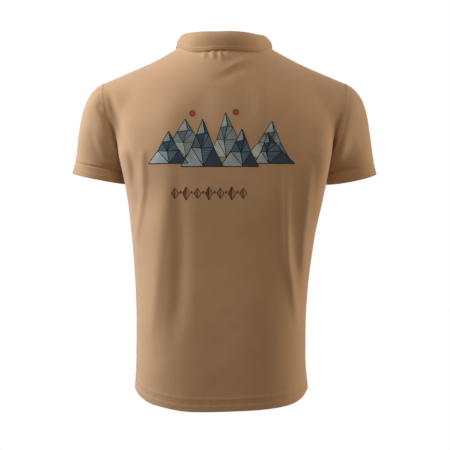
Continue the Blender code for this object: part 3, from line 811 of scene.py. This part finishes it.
def collar_grid(along):
    """Rows from the neck seam up the stand, round the fold and down to the outer edge."""
    fold_x, fold_y, fold_z, edge_x, edge_y, edge_z = smooth(mirrored(COLLAR, (1, 4)), along)
    lower = LOW_SIDE * eased(along / 0.5) * eased((1 - along) / 0.5)
    fold, edge = points(fold_x, fold_y, fold_z - lower), points(edge_x - LOW_PULL * lower, edge_y, edge_z)
    out = unit((edge - fold) * np.array([1, 1, 0]))
    seam = neck_seam(along)
    inner, outer = fold - FOLD_RADIUS * out, fold + FOLD_RADIUS * out
    rows = [seam + (inner - seam) * share for share in np.linspace(0, 1, STAND_ROWS, endpoint=False)]
    for turn in np.linspace(0, math.pi, FOLD_ROWS, endpoint=False):
        rows.append(fold - FOLD_RADIUS * math.cos(turn) * out + points(0, 0, FOLD_RADIUS * math.sin(turn)))
    for share in np.linspace(0, 1, FALL_ROWS):
        bow = FALL_BOW * math.sin(math.pi * share**0.7)
        rows.append(outer + (edge - outer) * share + bow * out)
    return np.array(rows)


def settled(grid, passes=12):
    """Lets the outer edge of the collar down on the body, and its fall with it."""
    depsgraph = bpy.context.evaluated_depsgraph_get()
    trees = [BVHTree.FromObject(piece, depsgraph) for piece in (back, front)]
    shift = np.zeros_like(grid[-1])
    for i, point in enumerate(grid[-1]):
        hits = (tree.find_nearest(Vector(point)) for tree in trees)
        near, _, _, away = min(hits, key=lambda hit: hit[3])
        shift[i] = (np.array(near) - point) * max(1 - COLLAR_GAP / away, 0)
    for _ in range(passes):
        shift[1:-1] = (shift[:-2] + 2 * shift[1:-1] + shift[2:]) / 4
    return grid + eased(1 - from_edge(grid, 0, far=True) / COLLAR_REACH)[..., None] * shift


collar_points = settled(collar_grid(np.linspace(-1, 1, COLLAR_COLUMNS)))
collar_out = -grid_normals(collar_points)
to_edge = from_edge(collar_points, 0, far=True)
courses = sum(ridge_at(to_edge, course, COLLAR_COURSE_WIDTH) for course in COLLAR_COURSES)
collar_relief = COLLAR_COURSE * courses + wobble(collar_points, 0.0010, 0.045, 6.2) * eased(to_edge / 0.012)
collar_thickness = RIB_KNIT * (EDGE_SHARE + (1 - EDGE_SHARE) * eased(to_edge / EDGE_TAPER))
collar_points = collar_points + (collar_relief + collar_thickness)[..., None] * collar_out
collar = cloth("rib_collar", collar_points, collar_thickness, rib, flip=True)
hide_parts("collar")
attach(collar, "root")

# Placket
# Two bands of the body's knit, faced and pressed, that close the slot left over right. The upper
# band is stitched down along both edges and squared off at its foot.
LAP_GAP = 0.0004
PLACKET_LIFT, PLACKET_PAD, PLACKET_DENT = 0.0006, 0.0008, 0.0004
PLACKET_CELLS, PLACKET_ROWS = 24, 90


def on_front(x, z):
    """The points of the front at x and z, near its centre line."""
    x, z = np.broadcast_arrays(x, z)
    middle = front_grid[:, np.abs(PLACES) < 0.12]
    row = np.interp(z, middle[:, middle.shape[1] // 2, 2], np.arange(len(middle)))
    low = np.clip(row.astype(int), 0, len(middle) - 2)
    share = (row - low)[..., None, None]
    rows = (middle[low] * (1 - share) + middle[low + 1] * share).reshape(-1, *middle.shape[1:])
    found = [read_along(line, line[:, 0], at) for line, at in zip(rows, x.flat)]
    return np.array(found).reshape(*x.shape, 3)


def placket_band(name, node_name, half, inside):
    """One band of the placket. Returns its outer points."""
    x = np.linspace(-half, half, PLACKET_CELLS + 1)[None, :]
    top = body_point("front", 0.0, 2.0)[2]
    grid = on_front(x, np.linspace(PLACKET_BOTTOM - 0.001, top, PLACKET_ROWS)[:, None])
    outward = -grid_normals(grid)
    edge = np.minimum(from_sides(grid), from_edge(grid, 0))
    relief = PLACKET_LIFT + PLACKET_PAD * (1 - ridge_at(edge, 0, 0.0012)) - inside
    relief += wobble(grid, 0.0003, 0.02, 2.2) - PLACKET_DENT * ridge_at(edge, 0.003, 0.0012)
    grid = grid + relief[..., None] * outward
    piece = cloth(name, grid, CLOTH, pique, flip=True)
    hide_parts(node_name)
    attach(piece, "root")
    return grid


placket_grid = placket_band("placket_upper", "placket_top", PLACKET_HALF + 0.0008, 0.0)
placket_band("placket_lower", "placket_under", PLACKET_HALF, CLOTH + LAP_GAP + 0.0012)

# Neck tape, label and vent tapes
# A twill tape covers the back neck seam inside, and a blank woven label hangs below its middle. The
# same tape runs round the top of each side vent.
TAPE = 0.0008
TRIM_GAP = 0.0008
TAPE_GAP, LABEL_GAP = 0.0012 + TRIM_GAP, 0.0020 + 2 * TRIM_GAP
LABEL_THICK = 0.0005
# Half the width across the back, lowest and highest level, and points each way
TAPE_PATCH = (0.97 * NECK_SHARE, (1.90, 1.985), (81, 12))
LABEL_PATCH = (0.07, (1.62, 1.94), (24, 30))
VENT_TAPE_EDGE, VENT_TAPE_WIDTH, VENT_TAPE_RISE = 0.0045, 0.010, 0.005


def twill_tape():
    """Cotton twill tape in the shirt's colour: matt, with fine slanting wales about 1.5 mm apart."""
    material, tree, shader = new_material("cotton twill tape", "#AD8861", 0.85)
    slant = {"Vector": on_cloth(tree), "Rotation": (0, 0, math.radians(35))}
    wales = waves(tree, node(tree, "ShaderNodeMapping", slant).outputs[0], 0.0015)
    # Painted shade: the tape's colour runs darker between the wales and lighter along their raised crests.
    tinted(tree, shader, ranged(tree, wales, -1.0, 1.0), "#A47F59", "#B38E67")
    raised(tree, shader, wales, 0.4)
    return material


def woven_label():
    """Satin-woven polyester label, left blank: smooth, with a soft shine along its threads."""
    material, tree, shader = new_material("satin woven label", "#D9CBB2", 0.45, {"Sheen Weight": 0.1})
    stretched = node(tree, "ShaderNodeMapping", {"Vector": on_cloth(tree), "Scale": (900, 4000, 1)})
    threads = clouds(tree, stretched.outputs[0], 1.0, 1.0)
    tinted(tree, shader, threads, "#D2C4AB", "#E0D2B9")
    raised(tree, shader, threads, 0.2, distance=0.0002)
    return material


def inside_back(half, levels, count, deep):
    """A grid of points this deep inside the back, read between the rows and columns of its own grid."""
    across, levels = np.linspace(-half, half, count[0]), np.linspace(*levels, count[1])
    columns = np.array([read_along(line, PLACES, across) for line in back_grid])
    lines = [read_along(columns[:, i], LEVELS, levels) for i in range(len(across))]
    grid = np.stack(lines, axis=1)
    return grid - deep * grid_normals(grid)


def vent_strip(side):
    """The tape round one vent: up its front, over its top and down its back, as a grid two edges wide."""
    edges = []
    for distance in np.linspace(VENT_TAPE_EDGE, VENT_TAPE_EDGE + VENT_TAPE_WIDTH, 6):
        heights = np.linspace(HEM_SIDE + VENT_TAPE_RISE, VENT_TOP + distance, 24)
        levels = (heights - HEM_SIDE) / (ARMPIT - HEM_SIDE)
        legs = []
        for face, sign in (("front", -1), ("back", 1)):
            grid = body_point(face, side * np.linspace(0.9, 1, 21)[None, :], levels[:, None])
            grid = grid - (CLOTH * 2 + TRIM_GAP) * side * sign * grid_normals(grid)
            walks = from_edge(grid, 1, far=True)
            legs.append(np.array([read_along(row, -walk, -distance) for walk, row in zip(walks, grid)]))
        over = (grid[-1, -1] + legs[0][-1] * 0.5 + legs[1][-1] * 0.5)[None] / 2
        edges.append(np.concatenate([legs[0], over, legs[1][::-1]]))
    return np.array(edges)


twill = twill_tape()
neck_tape = cloth("neck_tape_cloth", inside_back(*TAPE_PATCH, TAPE_GAP), TAPE, twill)
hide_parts("neck_tape")
label = cloth("blank_label", inside_back(*LABEL_PATCH, LABEL_GAP), LABEL_THICK, woven_label())
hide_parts("neck_label")
trims = [(neck_tape, (0.22, 0.0105)), (label, (0.036, 0.077))]
for name, side in (("left", -1), ("right", 1)):
    vent_tape = cloth("vent_tape_cloth_" + name, vent_strip(side), TAPE, twill, flip=side > 0)
    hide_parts("vent_tape_" + name)
    trims.append((vent_tape, (0.12, 0.010)))
for trim, size in trims:
    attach(trim, "root")

# Stitching
# Spun polyester thread in the cloth's colour. Twin needle lines run round the hems and vents, single
# lines along the shoulders, the sleeve seams, the placket's edges, the tape and the label.
STITCH_PITCH, STITCH_LENGTH, THREAD = 0.0034, 0.0026, 0.00055


def spun_thread():
    """Spun polyester sewing thread: a little shinier than the cotton, twisted, dyed to match."""
    material, tree, shader = new_material("spun polyester thread", "#B58F69", 0.6)
    tinted(tree, shader, clouds(tree, on_object(tree), 1500.0, 1.0), "#AB865F", "#C39D77")
    return material


def stitch_nodes(material):
    """The node group that lays stitches along a line: small rounded threads, end to end."""
    tree = bpy.data.node_groups.new("stitches", "GeometryNodeTree")
    for way in ("INPUT", "OUTPUT"):
        tree.interface.new_socket(name="Geometry", in_out=way, socket_type="NodeSocketGeometry")
    for name, size in (("Pitch", STITCH_PITCH), ("Length", STITCH_LENGTH), ("Thread", THREAD)):
        given = tree.interface.new_socket(name=name, in_out="INPUT", socket_type="NodeSocketFloat")
        given.default_value = size
    given = node(tree, "NodeGroupInput").outputs
    line = node(tree, "GeometryNodeMeshToCurve", {"Mesh": given["Geometry"]})
    steps = {"Curve": line.outputs[0], "Length": given["Pitch"]}
    places = node(tree, "GeometryNodeCurveToPoints", steps, mode="LENGTH").outputs
    along = node(tree, "FunctionNodeAlignRotationToVector", {"Vector": places["Tangent"]}, axis="X")
    size = node(tree, "ShaderNodeCombineXYZ", {0: given["Length"], 1: given["Thread"], 2: given["Thread"]})
    bead = node(tree, "GeometryNodeMeshUVSphere", {"Segments": 6, "Rings": 5, "Radius": 0.5})
    laid = {"Points": places["Points"], "Instance": bead.outputs["Mesh"], "Rotation": along.outputs[0]}
    stitches = node(tree, "GeometryNodeInstanceOnPoints", {**laid, "Scale": size.outputs[0]})
    real = node(tree, "GeometryNodeRealizeInstances", {0: stitches.outputs[0]})
    rounded = node(tree, "GeometryNodeSetShadeSmooth", {"Geometry": real.outputs[0]})
    finished = node(tree, "GeometryNodeSetMaterial", {"Geometry": rounded.outputs[0], "Material": material})
    node(tree, "NodeGroupOutput", {0: finished.outputs[0]})
    return tree


def line_at(grid, distance, axis=0, far=False):
    """The line over a grid of points that keeps this distance from one of its edges."""
    step = -1 if far else 1
    walk = np.moveaxis(from_edge(grid, axis, far), axis, 0)[::step]
    rows = np.moveaxis(grid, axis, 0)[::step]
    return np.array([read_along(rows[:, j], walk[:, j], distance) for j in range(rows.shape[1])])


def stitched(name, lines, slot, **sizes):
    """One mesh of stitches along lines of points."""
    mesh = bpy.data.meshes.new(name)
    places, edges = [], []
    for line in lines:
        edges += [(i, i + 1) for i in range(len(places), len(places) + len(line) - 1)]
        places += [tuple(p) for p in line]
    mesh.from_pydata(places, edges, [])
    piece = shown(name, mesh)
    laid = piece.modifiers.new("stitches", "NODES")
    laid.node_group = stitches
    for item in stitches.interface.items_tree:
        if item.name in sizes:
            laid[item.identifier] = sizes[item.name]
    as_plain_mesh(piece)
    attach(piece, "root")


def vent_lines(grid):
    """Two lines beside each vent of one face of the body."""
    below = grid[: np.searchsorted(grid[:, 0, 2], VENT_TOP) + 1]
    return [line_at(below, distance, 1, far)[4:] for far in (False, True) for distance in (0.005, 0.010)]


def foot_box(grid, distance):
    """Up one long edge of the placket, over its foot and up the other, this far inside."""
    left, right = line_at(grid, distance, 1), line_at(grid, distance, 1, far=True)
    foot = line_at(grid, distance)
    inside = from_edge(grid, 0)[:, 0] > distance
    across = (foot[:, 0] > left[0, 0]) & (foot[:, 0] < right[0, 0])
    return np.concatenate([left[inside][::-1], foot[across], right[inside]])


thread = spun_thread()
stitches = stitch_nodes(thread)
hem_lines = [line_at(grid, line) for grid in (back_grid, front_grid) for line in NEEDLE_LINES]
stitched("hem_stitching", hem_lines, "pique")
stitched("vent_stitching", vent_lines(back_grid) + vent_lines(front_grid), "pique")
shoulders = line_at(back_grid, 0.0035, far=True)
beside_neck = NECK_SHARE + 0.03
stitched("shoulder_stitching", [shoulders[PLACES < -beside_neck], shoulders[PLACES > beside_neck]], "pique")
sleeves = [np.concatenate([grid, grid[:, :1]], axis=1) for grid in sleeve_grids.values()]
stitched("sleeve_stitching", [line_at(grid, 0.0025, far=True) for grid in sleeves], "pique")
stitched("placket_stitching", [foot_box(placket_grid, 0.003)], "pique", Pitch=0.0030, Length=0.0023)
tape_face = inside_back(*TAPE_PATCH, TAPE_GAP + TAPE)
label_face = inside_back(*LABEL_PATCH, LABEL_GAP + LABEL_THICK)
stitched("tape_stitching", [line_at(tape_face, 0.0015, far=far) for far in (False, True)], "twill")
label_edges = ((1, False), (1, True), (0, True))
label_lines = [line_at(label_face, 0.002, axis, far) for axis, far in label_edges]
stitched("label_stitching", label_lines, "satin", Pitch=0.0026, Length=0.002)

# Buttons and buttonholes
# Turned polyester resin buttons in the shirt's colour with a raised rim and four holes, sewn to the
# under band through upright buttonholes in the upper one.
BUTTON_THICK, BUTTON_GAP = 0.0026, 0.0009
BUTTON_HEIGHTS = (-0.102, -0.154, -0.206)
BUTTONHOLE = 0.0145
HOLE_AWAY, HOLE_RADIUS = 0.00125, 0.00065
THREAD_RADIUS, BUTTONHOLE_THREAD, THREADS_APART = 0.00022, 0.00016, 0.00022
# Across a buttonhole: half its slit, how wide its stitches are, and how far apart they lie
SLIT_HALF, ZIGZAG, ZIGZAG_STEP = 0.0011, 0.0007, 0.00032
# radius and height in mm, from the middle of the face round the rim to the middle of the back
BUTTON_PROFILE = (
    (0, 0.75), (2.6, 0.80), (3.5, 0.95), (3.9, 1.22), (4.5, 1.30), (5.2, 1.16), (5.6, 0.75),
    (5.7, 0.2), (5.55, -0.5), (4.9, -1.05), (3.6, -1.30), (0, -1.30),
)


def pearl_resin():
    """Cast polyester resin, tumbled smooth: cloudy tan swirls under a soft gloss."""
    coat = {"Coat Weight": 0.3, "Coat Roughness": 0.2}
    material, tree, shader = new_material("cast polyester resin", "#8E6E4C", 0.28, coat)
    tinted(tree, shader, clouds(tree, on_object(tree), 260.0, 3.0, Distortion=1.5), "#7A5B3C", "#A88663")
    return material


def button_seat(height, half=0.004):
    """Where a button sits on the placket: its middle and its outward direction."""
    x, z = np.array([[-half, half], [-half, half]]), np.array([[-half, -half], [half, half]])
    patch = on_front(x, height + z)
    normal = Vector(np.cross(patch[0, 1] - patch[0, 0], patch[1, 0] - patch[0, 0])).normalized()
    seat = Vector(on_front(np.array([0.0]), np.array([height]))[0])
    return seat, normal if normal.y > 0 else -normal


def turned_button(name):
    """A button's body, turned from its profile, with its four holes."""
    bm = bmesh.new()
    profile = [bm.verts.new((r / 1000, 0, z / 1000)) for r, z in BUTTON_PROFILE]
    edges = [bm.edges.new(pair) for pair in zip(profile, profile[1:])]
    bmesh.ops.spin(bm, geom=profile + edges, cent=(0, 0, 0), axis=(0, 0, 1), angle=2 * math.pi, steps=48)
    bmesh.ops.remove_doubles(bm, verts=bm.verts, dist=1e-6)
    bmesh.ops.recalc_face_normals(bm, faces=bm.faces)
    button = shown(name, mesh_from(name, bm))
    bm = bmesh.new()
    drill = {"radius1": HOLE_RADIUS, "radius2": HOLE_RADIUS, "depth": 0.006}
    for x, y in ((1, 1), (1, -1), (-1, 1), (-1, -1)):
        at = Matrix.Translation((x * HOLE_AWAY, y * HOLE_AWAY, 0))
        bmesh.ops.create_cone(bm, cap_ends=True, segments=14, matrix=at, **drill)
    cut_with(button, mesh_from("holes", bm))
    return button


def thread_tube(name, lines, radius):
    """Thread laid along lines of points, as one mesh."""
    data = bpy.data.curves.new(name, "CURVE")
    data.dimensions = "3D"
    data.bevel_depth = radius
    data.bevel_resolution = 1
    data.use_fill_caps = True
    for line in lines:
        spline = data.splines.new("POLY")
        spline.points.add(len(line) - 1)
        for point, place in zip(spline.points, line):
            point.co = (*place, 1)
    tube = shown(name, data)
    mesh = plain_mesh(tube)
    bpy.data.objects.remove(tube)
    mesh.materials.clear()
    mesh.materials.append(thread)
    mesh.shade_smooth()
    piece = shown(name, mesh)
    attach(piece, "root")


def hole_threads(place):
    """Two pairs of threads over a button's face, each down through two of its holes."""
    half = ((0, 0.0013), (0.0009, 0.0011), (HOLE_AWAY, 0.0004), (HOLE_AWAY, -0.0024))
    bend = [(-y, z) for y, z in half[:0:-1]] + list(half)
    across = [x + beside for x in (-HOLE_AWAY, HOLE_AWAY) for beside in (-THREADS_APART, THREADS_APART)]
    return [[place @ Vector((x, y, z)) for y, z in bend] for x in across]


def buttonhole_threads(height):
    """A close zigzag up both sides of a buttonhole on the upper band."""
    steps = np.arange(0, BUTTONHOLE, ZIGZAG_STEP)
    out = SLIT_HALF + ZIGZAG * (np.arange(len(steps)) % 2)
    above = np.array([0, 0.0016, 0.0004])
    return [on_front(side * out, height - BUTTONHOLE / 2 + steps) + above for side in (-1, 1)]


resin = pearl_resin()
hole_lines, sewn_lines = [], []
for number, height in enumerate(BUTTON_HEIGHTS, 1):
    seat, normal = button_seat(height)
    middle = Matrix.Translation(seat + normal * (BUTTON_THICK / 2 + BUTTON_GAP))
    place = middle @ normal.to_track_quat("Z", "Y").to_matrix().to_4x4()
    button = turned_button(f"turned_button_{number}")
    button.data.transform(place)
    coated(button.data, resin, 40)
    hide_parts(f"button_{number}")
    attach(button, "root")
    sewn_lines += hole_threads(place)
    hole_lines += buttonhole_threads(height)
thread_tube("button_threads", sewn_lines, THREAD_RADIUS)
thread_tube("buttonhole_threads", hole_lines, BUTTONHOLE_THREAD)

# Printed design
# Water-based inks screened on the back: a range of faceted peaks with inked outlines, two small discs
# above it and a row of lozenges below. The inks follow the folds and let the knit show through.
INK_LIFT, INK_THICK, LAYER_STEP = 0.00022, 0.00008, 0.00006
INK_STEP, INK_HALVINGS = 0.005, 6
# Places from the peak down to the foot, as shares of the reach and of the height
RIDGE = ((0.0, 0.0), (0.10, 0.30), (-0.07, 0.62), (0.04, 1.0))
FLANK = ((0.0, 0.0), (0.30, 0.34), (0.52, 0.60), (1.0, 1.0))
# left foot, peak x, right foot, peak height above the foot, foot height, all in mm
FAR_PEAKS = ((-128, -76, -24, 74, -226), (-30, 2, 50, 86, -226), (40, 92, 124, 70, -226))
NEAR_PEAKS = (
    (-148, -108, -70, 62, -238), (-84, -42, -2, 92, -244), (-8, 34, 66, 72, -244), (58, 84, 136, 58, -238),
)
FAR_INKS = ("#A3B0AB", "#8FA0A0", "#B3BDB4", "#74878C")
NEAR_INKS = ("#7B8F9B", "#5E7585", "#91A2A6", "#3F525F")
# Which inks the two triangles of each facet take from the peak down, by the side of the peak
FACET_INKS = {-1: ((0, 0), (1, 3), (2, 0)), 1: ((3, 3), (1, 1), (3, 1))}
HATCH_INKS = {
    "#A3B0AB": "#C7D0CA", "#8FA0A0": "#4E6068", "#B3BDB4": "#D8DED6", "#74878C": "#33424A",
    "#7B8F9B": "#B4C1C4", "#5E7585": "#2B3A44", "#91A2A6": "#C3CDCD", "#3F525F": "#1E2A31",
}
LINE_INK, DISC_INK = "#20282D", "#B4433A"
LOZENGE_INKS = ("#9A6A45", "#7B4F32", "#B88659")
LOZENGES, LOZENGE_Z = range(-96, 40, 22), -296


def facets(peaks, inks):
    """The triangles of a range of peaks, each with its ink."""
    made = []
    for left, top, right, height, foot in peaks:
        for side, reach in ((-1, top - left), (1, right - top)):
            ridge = [(top + a * reach, foot + height * (1 - b)) for a, b in RIDGE]
            flank = [(top + side * a * reach, foot + height * (1 - b)) for a, b in FLANK]
            for i, (upper, lower) in enumerate(FACET_INKS[side]):
                made.append(((flank[i], flank[i + 1], ridge[i + 1]), inks[upper]))
                if i:
                    made.append(((flank[i], ridge[i + 1], ridge[i]), inks[lower]))
    return made


def stroke(start, end, width):
    """A thin four-sided mark from one place to another, in mm."""
    (x1, z1), (x2, z2) = start, end
    length = math.hypot(x2 - x1, z2 - z1)
    nx, nz = -(z2 - z1) / length * width / 2, (x2 - x1) / length * width / 2
    return ((x1 + nx, z1 + nz), (x1 - nx, z1 - nz), (x2 - nx, z2 - nz), (x2 + nx, z2 + nz))


def outlined(shapes, width, shortest=0.5):
    """Strokes along the sides of shapes, each side once."""
    seen, made = set(), []
    for corners, _ in shapes:
        for start, end in zip(corners, corners[1:] + corners[:1]):
            key = frozenset(tuple(round(value, 1) for value in place) for place in (start, end))
            if key not in seen and math.dist(start, end) > shortest:
                seen.add(key)
                made.append((stroke(start, end, width), LINE_INK))
    return made


def hatched(shapes, spacing, width):
    """Fine parallel strokes over triangles, each along one of its sides."""
    made = []
    for i, (corners, tint) in enumerate(shapes):
        a, b, c = (Vector(corners[(i + k) % 3]) for k in range(3))
        steps = int(min((b - a).length, (c - a).length) / spacing)
        for t in (np.arange(1, steps) + 0.3) / max(steps, 1):
            made.append((stroke(a.lerp(b, t), a.lerp(c, t), width), HATCH_INKS[tint]))
    return made


def disc(x, z, radius, sides=28):
    """A round disc, as a shape with its ink."""
    turns = np.linspace(0, 2 * math.pi, sides, endpoint=False)
    return tuple((x + radius * math.cos(turn), z + radius * math.sin(turn)) for turn in turns), DISC_INK


def lozenges():
    """A row of two-toned lozenges with small chevrons between them."""
    made = []
    for i, x in enumerate(LOZENGES):
        tall = 13 if i % 2 else 10
        top, foot = (x, LOZENGE_Z + tall), (x, LOZENGE_Z - tall)
        made.append(((top, (x - 7, LOZENGE_Z), foot), LOZENGE_INKS[i % 2]))
        made.append(((top, foot, (x + 7, LOZENGE_Z)), LOZENGE_INKS[2]))
        if i < len(LOZENGES) - 1:
            chevron = ((9, 0), (11, 5), (13, 0), (11, 2.5))
            made.append((tuple((x + a, LOZENGE_Z + b) for a, b in chevron), LOZENGE_INKS[1]))
    return made


def ink_film(name, layers, material):
    """Layers of flat shapes, in mm, laid on the back of the shirt as thin closed films of ink."""
    bm = bmesh.new()
    lift = bm.verts.layers.float.new("lift")
    ink = bm.verts.layers.float_color.new("ink")
    for level, shapes in enumerate(layers):
        for corners, tint in shapes:
            verts = [bm.verts.new((x / 1000, 0, z / 1000)) for x, z in corners]
            for vert in verts:
                vert[lift], vert[ink] = level * LAYER_STEP, colour(tint)
            bm.faces.new(verts)
    bmesh.ops.triangulate(bm, faces=bm.faces)
    for _ in range(INK_HALVINGS):
        long = [edge for edge in bm.edges if edge.calc_length() > INK_STEP]
        bmesh.ops.subdivide_edges(bm, edges=long, cuts=1)
        bmesh.ops.triangulate(bm, faces=bm.faces)
    surface = BVHTree.FromObject(back, bpy.context.evaluated_depsgraph_get())
    for vert in bm.verts:
        hit, normal, _, _ = surface.ray_cast(Vector((vert.co.x, -0.4, vert.co.z)), Vector((0, 1, 0)))
        vert.co = hit + normal * (INK_LIFT + vert[lift])
    bm.normal_update()
    for face in bm.faces:
        if face.normal.y > 0:
            face.normal_flip()
    mesh = mesh_from(name, bm)
    spread = mesh.uv_layers.new(name="cloth")
    places = [mesh.vertices[loop.vertex_index].co for loop in mesh.loops]
    spread.data.foreach_set("uv", [value for place in places for value in (place.x, place.z)])
    piece = shown(name, mesh)
    film = piece.modifiers.new("film", "SOLIDIFY")
    film.thickness = INK_THICK
    as_plain_mesh(piece)
    coated(piece.data, material, 50)
    return piece


def screened_ink():
    """Water-based ink screened into the knit: matt, thin, mottled where the cells take it unevenly."""
    matt = {"Specular IOR Level": 0.3}
    material, tree, shader = new_material("screened water-based ink", "#7B8F9B", 0.8, matt)
    tint = node(tree, "ShaderNodeAttribute", attribute_name="ink").outputs["Color"]
    cells, turned = pique_cells(tree)
    wash = clouds(tree, on_object(tree), 70.0, 5.0)
    mottle = worked_out(tree, "ADD", wash, clouds(tree, turned, 1.3, 3.0))
    value = ranged(tree, mottle, 0.6, 1.4, 0.62, 1.3)
    worn = node(tree, "ShaderNodeHueSaturation", {"Value": value, "Color": tint})
    tree.links.new(worn.outputs[0], shader.inputs["Base Color"])
    raised(tree, shader, cells, 0.3, invert=True)
    return material


far, near = facets(FAR_PEAKS, FAR_INKS), facets(NEAR_PEAKS, NEAR_INKS)
discs, diamonds = [disc(-62, -141, 5.5), disc(22, -139, 5.5)], lozenges()
layers = (
    far + discs + diamonds,
    hatched(far, 3.2, 0.7),
    outlined(far, 1.1) + outlined(discs + diamonds, 1.0),
    near,
    hatched(near, 3.0, 0.8),
    outlined(near, 1.5),
)
design = ink_film("printed_design", layers, screened_ink())
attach(design, "root")

# Camera
# Level with the middle of the shirt and straight behind it, at the photograph's framing.
CAMERA_X, CAMERA_Z, CAMERA_AWAY = 0.001, -0.357, 2.3
FRAME_HALF = 0.459

camera_data = bpy.data.cameras.new("camera")
camera_data.sensor_width = 36.0
camera_data.lens = 18.0 * CAMERA_AWAY / FRAME_HALF
camera = shown("camera", camera_data)
camera.location = (CAMERA_X, -CAMERA_AWAY, CAMERA_Z)
camera.rotation_euler = (math.radians(90), 0, 0)
bpy.context.scene.camera = camera

# Lights and floor
# A large soft light stands square to the left, a weaker one square to the right and a little behind the
# shirt, and one at the upper left. A small one fills in from high behind the camera, and one stands
# before the chest. A grey floor lies well below the hem, and the backdrop is plain white.
# name, turn from the camera in degrees, rise in degrees, distance, size, power, colour
LIGHTS = (
    ("key", -91, 23, 2.7, 1.6, 102, "#EEF4FF"),
    ("side", 101, 4, 3.0, 1.4, 60, "#FFF6EC"),
    ("top", -50, 64, 2.8, 2.0, 22, "#D6E6FF"),
    ("fill", 0, 48, 1.7, 1.4, 7, "#FFF3E4"),
    ("front", 170, 18, 3.2, 2.2, 36, "#F2F8FF"),
)
AIM = Vector((0, 0, -0.35))
FLOOR_Z, FLOOR_RADIUS = -1.25, 1.3
AMBIENT, AMBIENT_STRENGTH = "#FFE6CC", 0.19

for name, turn, rise, away, size, power, tint in LIGHTS:
    lamp = bpy.data.lights.new(name, "AREA")
    lamp.shape = "DISK"
    lamp.size = size
    lamp.energy = power
    lamp.color = colour(tint)[:3]
    turn, rise = math.radians(turn), math.radians(rise)
    way = Vector((math.sin(turn) * math.cos(rise), -math.cos(turn) * math.cos(rise), math.sin(rise)))
    holder = shown(name, lamp)
    holder.location = AIM + away * way
    holder.rotation_euler = way.to_track_quat("Z", "Y").to_euler()

world = bpy.data.worlds.new("studio")
world.use_nodes = True
bpy.context.scene.world = world
sky = world.node_tree
ambient = sky.nodes["Background"]
ambient.inputs["Color"].default_value = colour(AMBIENT)
ambient.inputs["Strength"].default_value = AMBIENT_STRENGTH
backdrop = node(sky, "ShaderNodeBackground", {"Color": (1, 1, 1, 1), "Strength": 1.0})
to_camera = node(sky, "ShaderNodeLightPath").outputs["Is Camera Ray"]
either = node(sky, "ShaderNodeMixShader", {0: to_camera, 1: ambient.outputs[0], 2: backdrop.outputs[0]})
sky.links.new(either.outputs[0], sky.nodes["World Output"].inputs["Surface"])
bpy.context.scene.view_settings.view_transform = "Standard"

bm = bmesh.new()
bmesh.ops.create_circle(bm, cap_ends=True, segments=96, radius=FLOOR_RADIUS)
bmesh.ops.translate(bm, verts=bm.verts, vec=(0, 0, FLOOR_Z))
floor_mesh = mesh_from("floor", bm)
floor_mesh.materials.append(new_material("grey paper floor", "#827E78", 0.8)[0])
floor = shown("floor", floor_mesh)
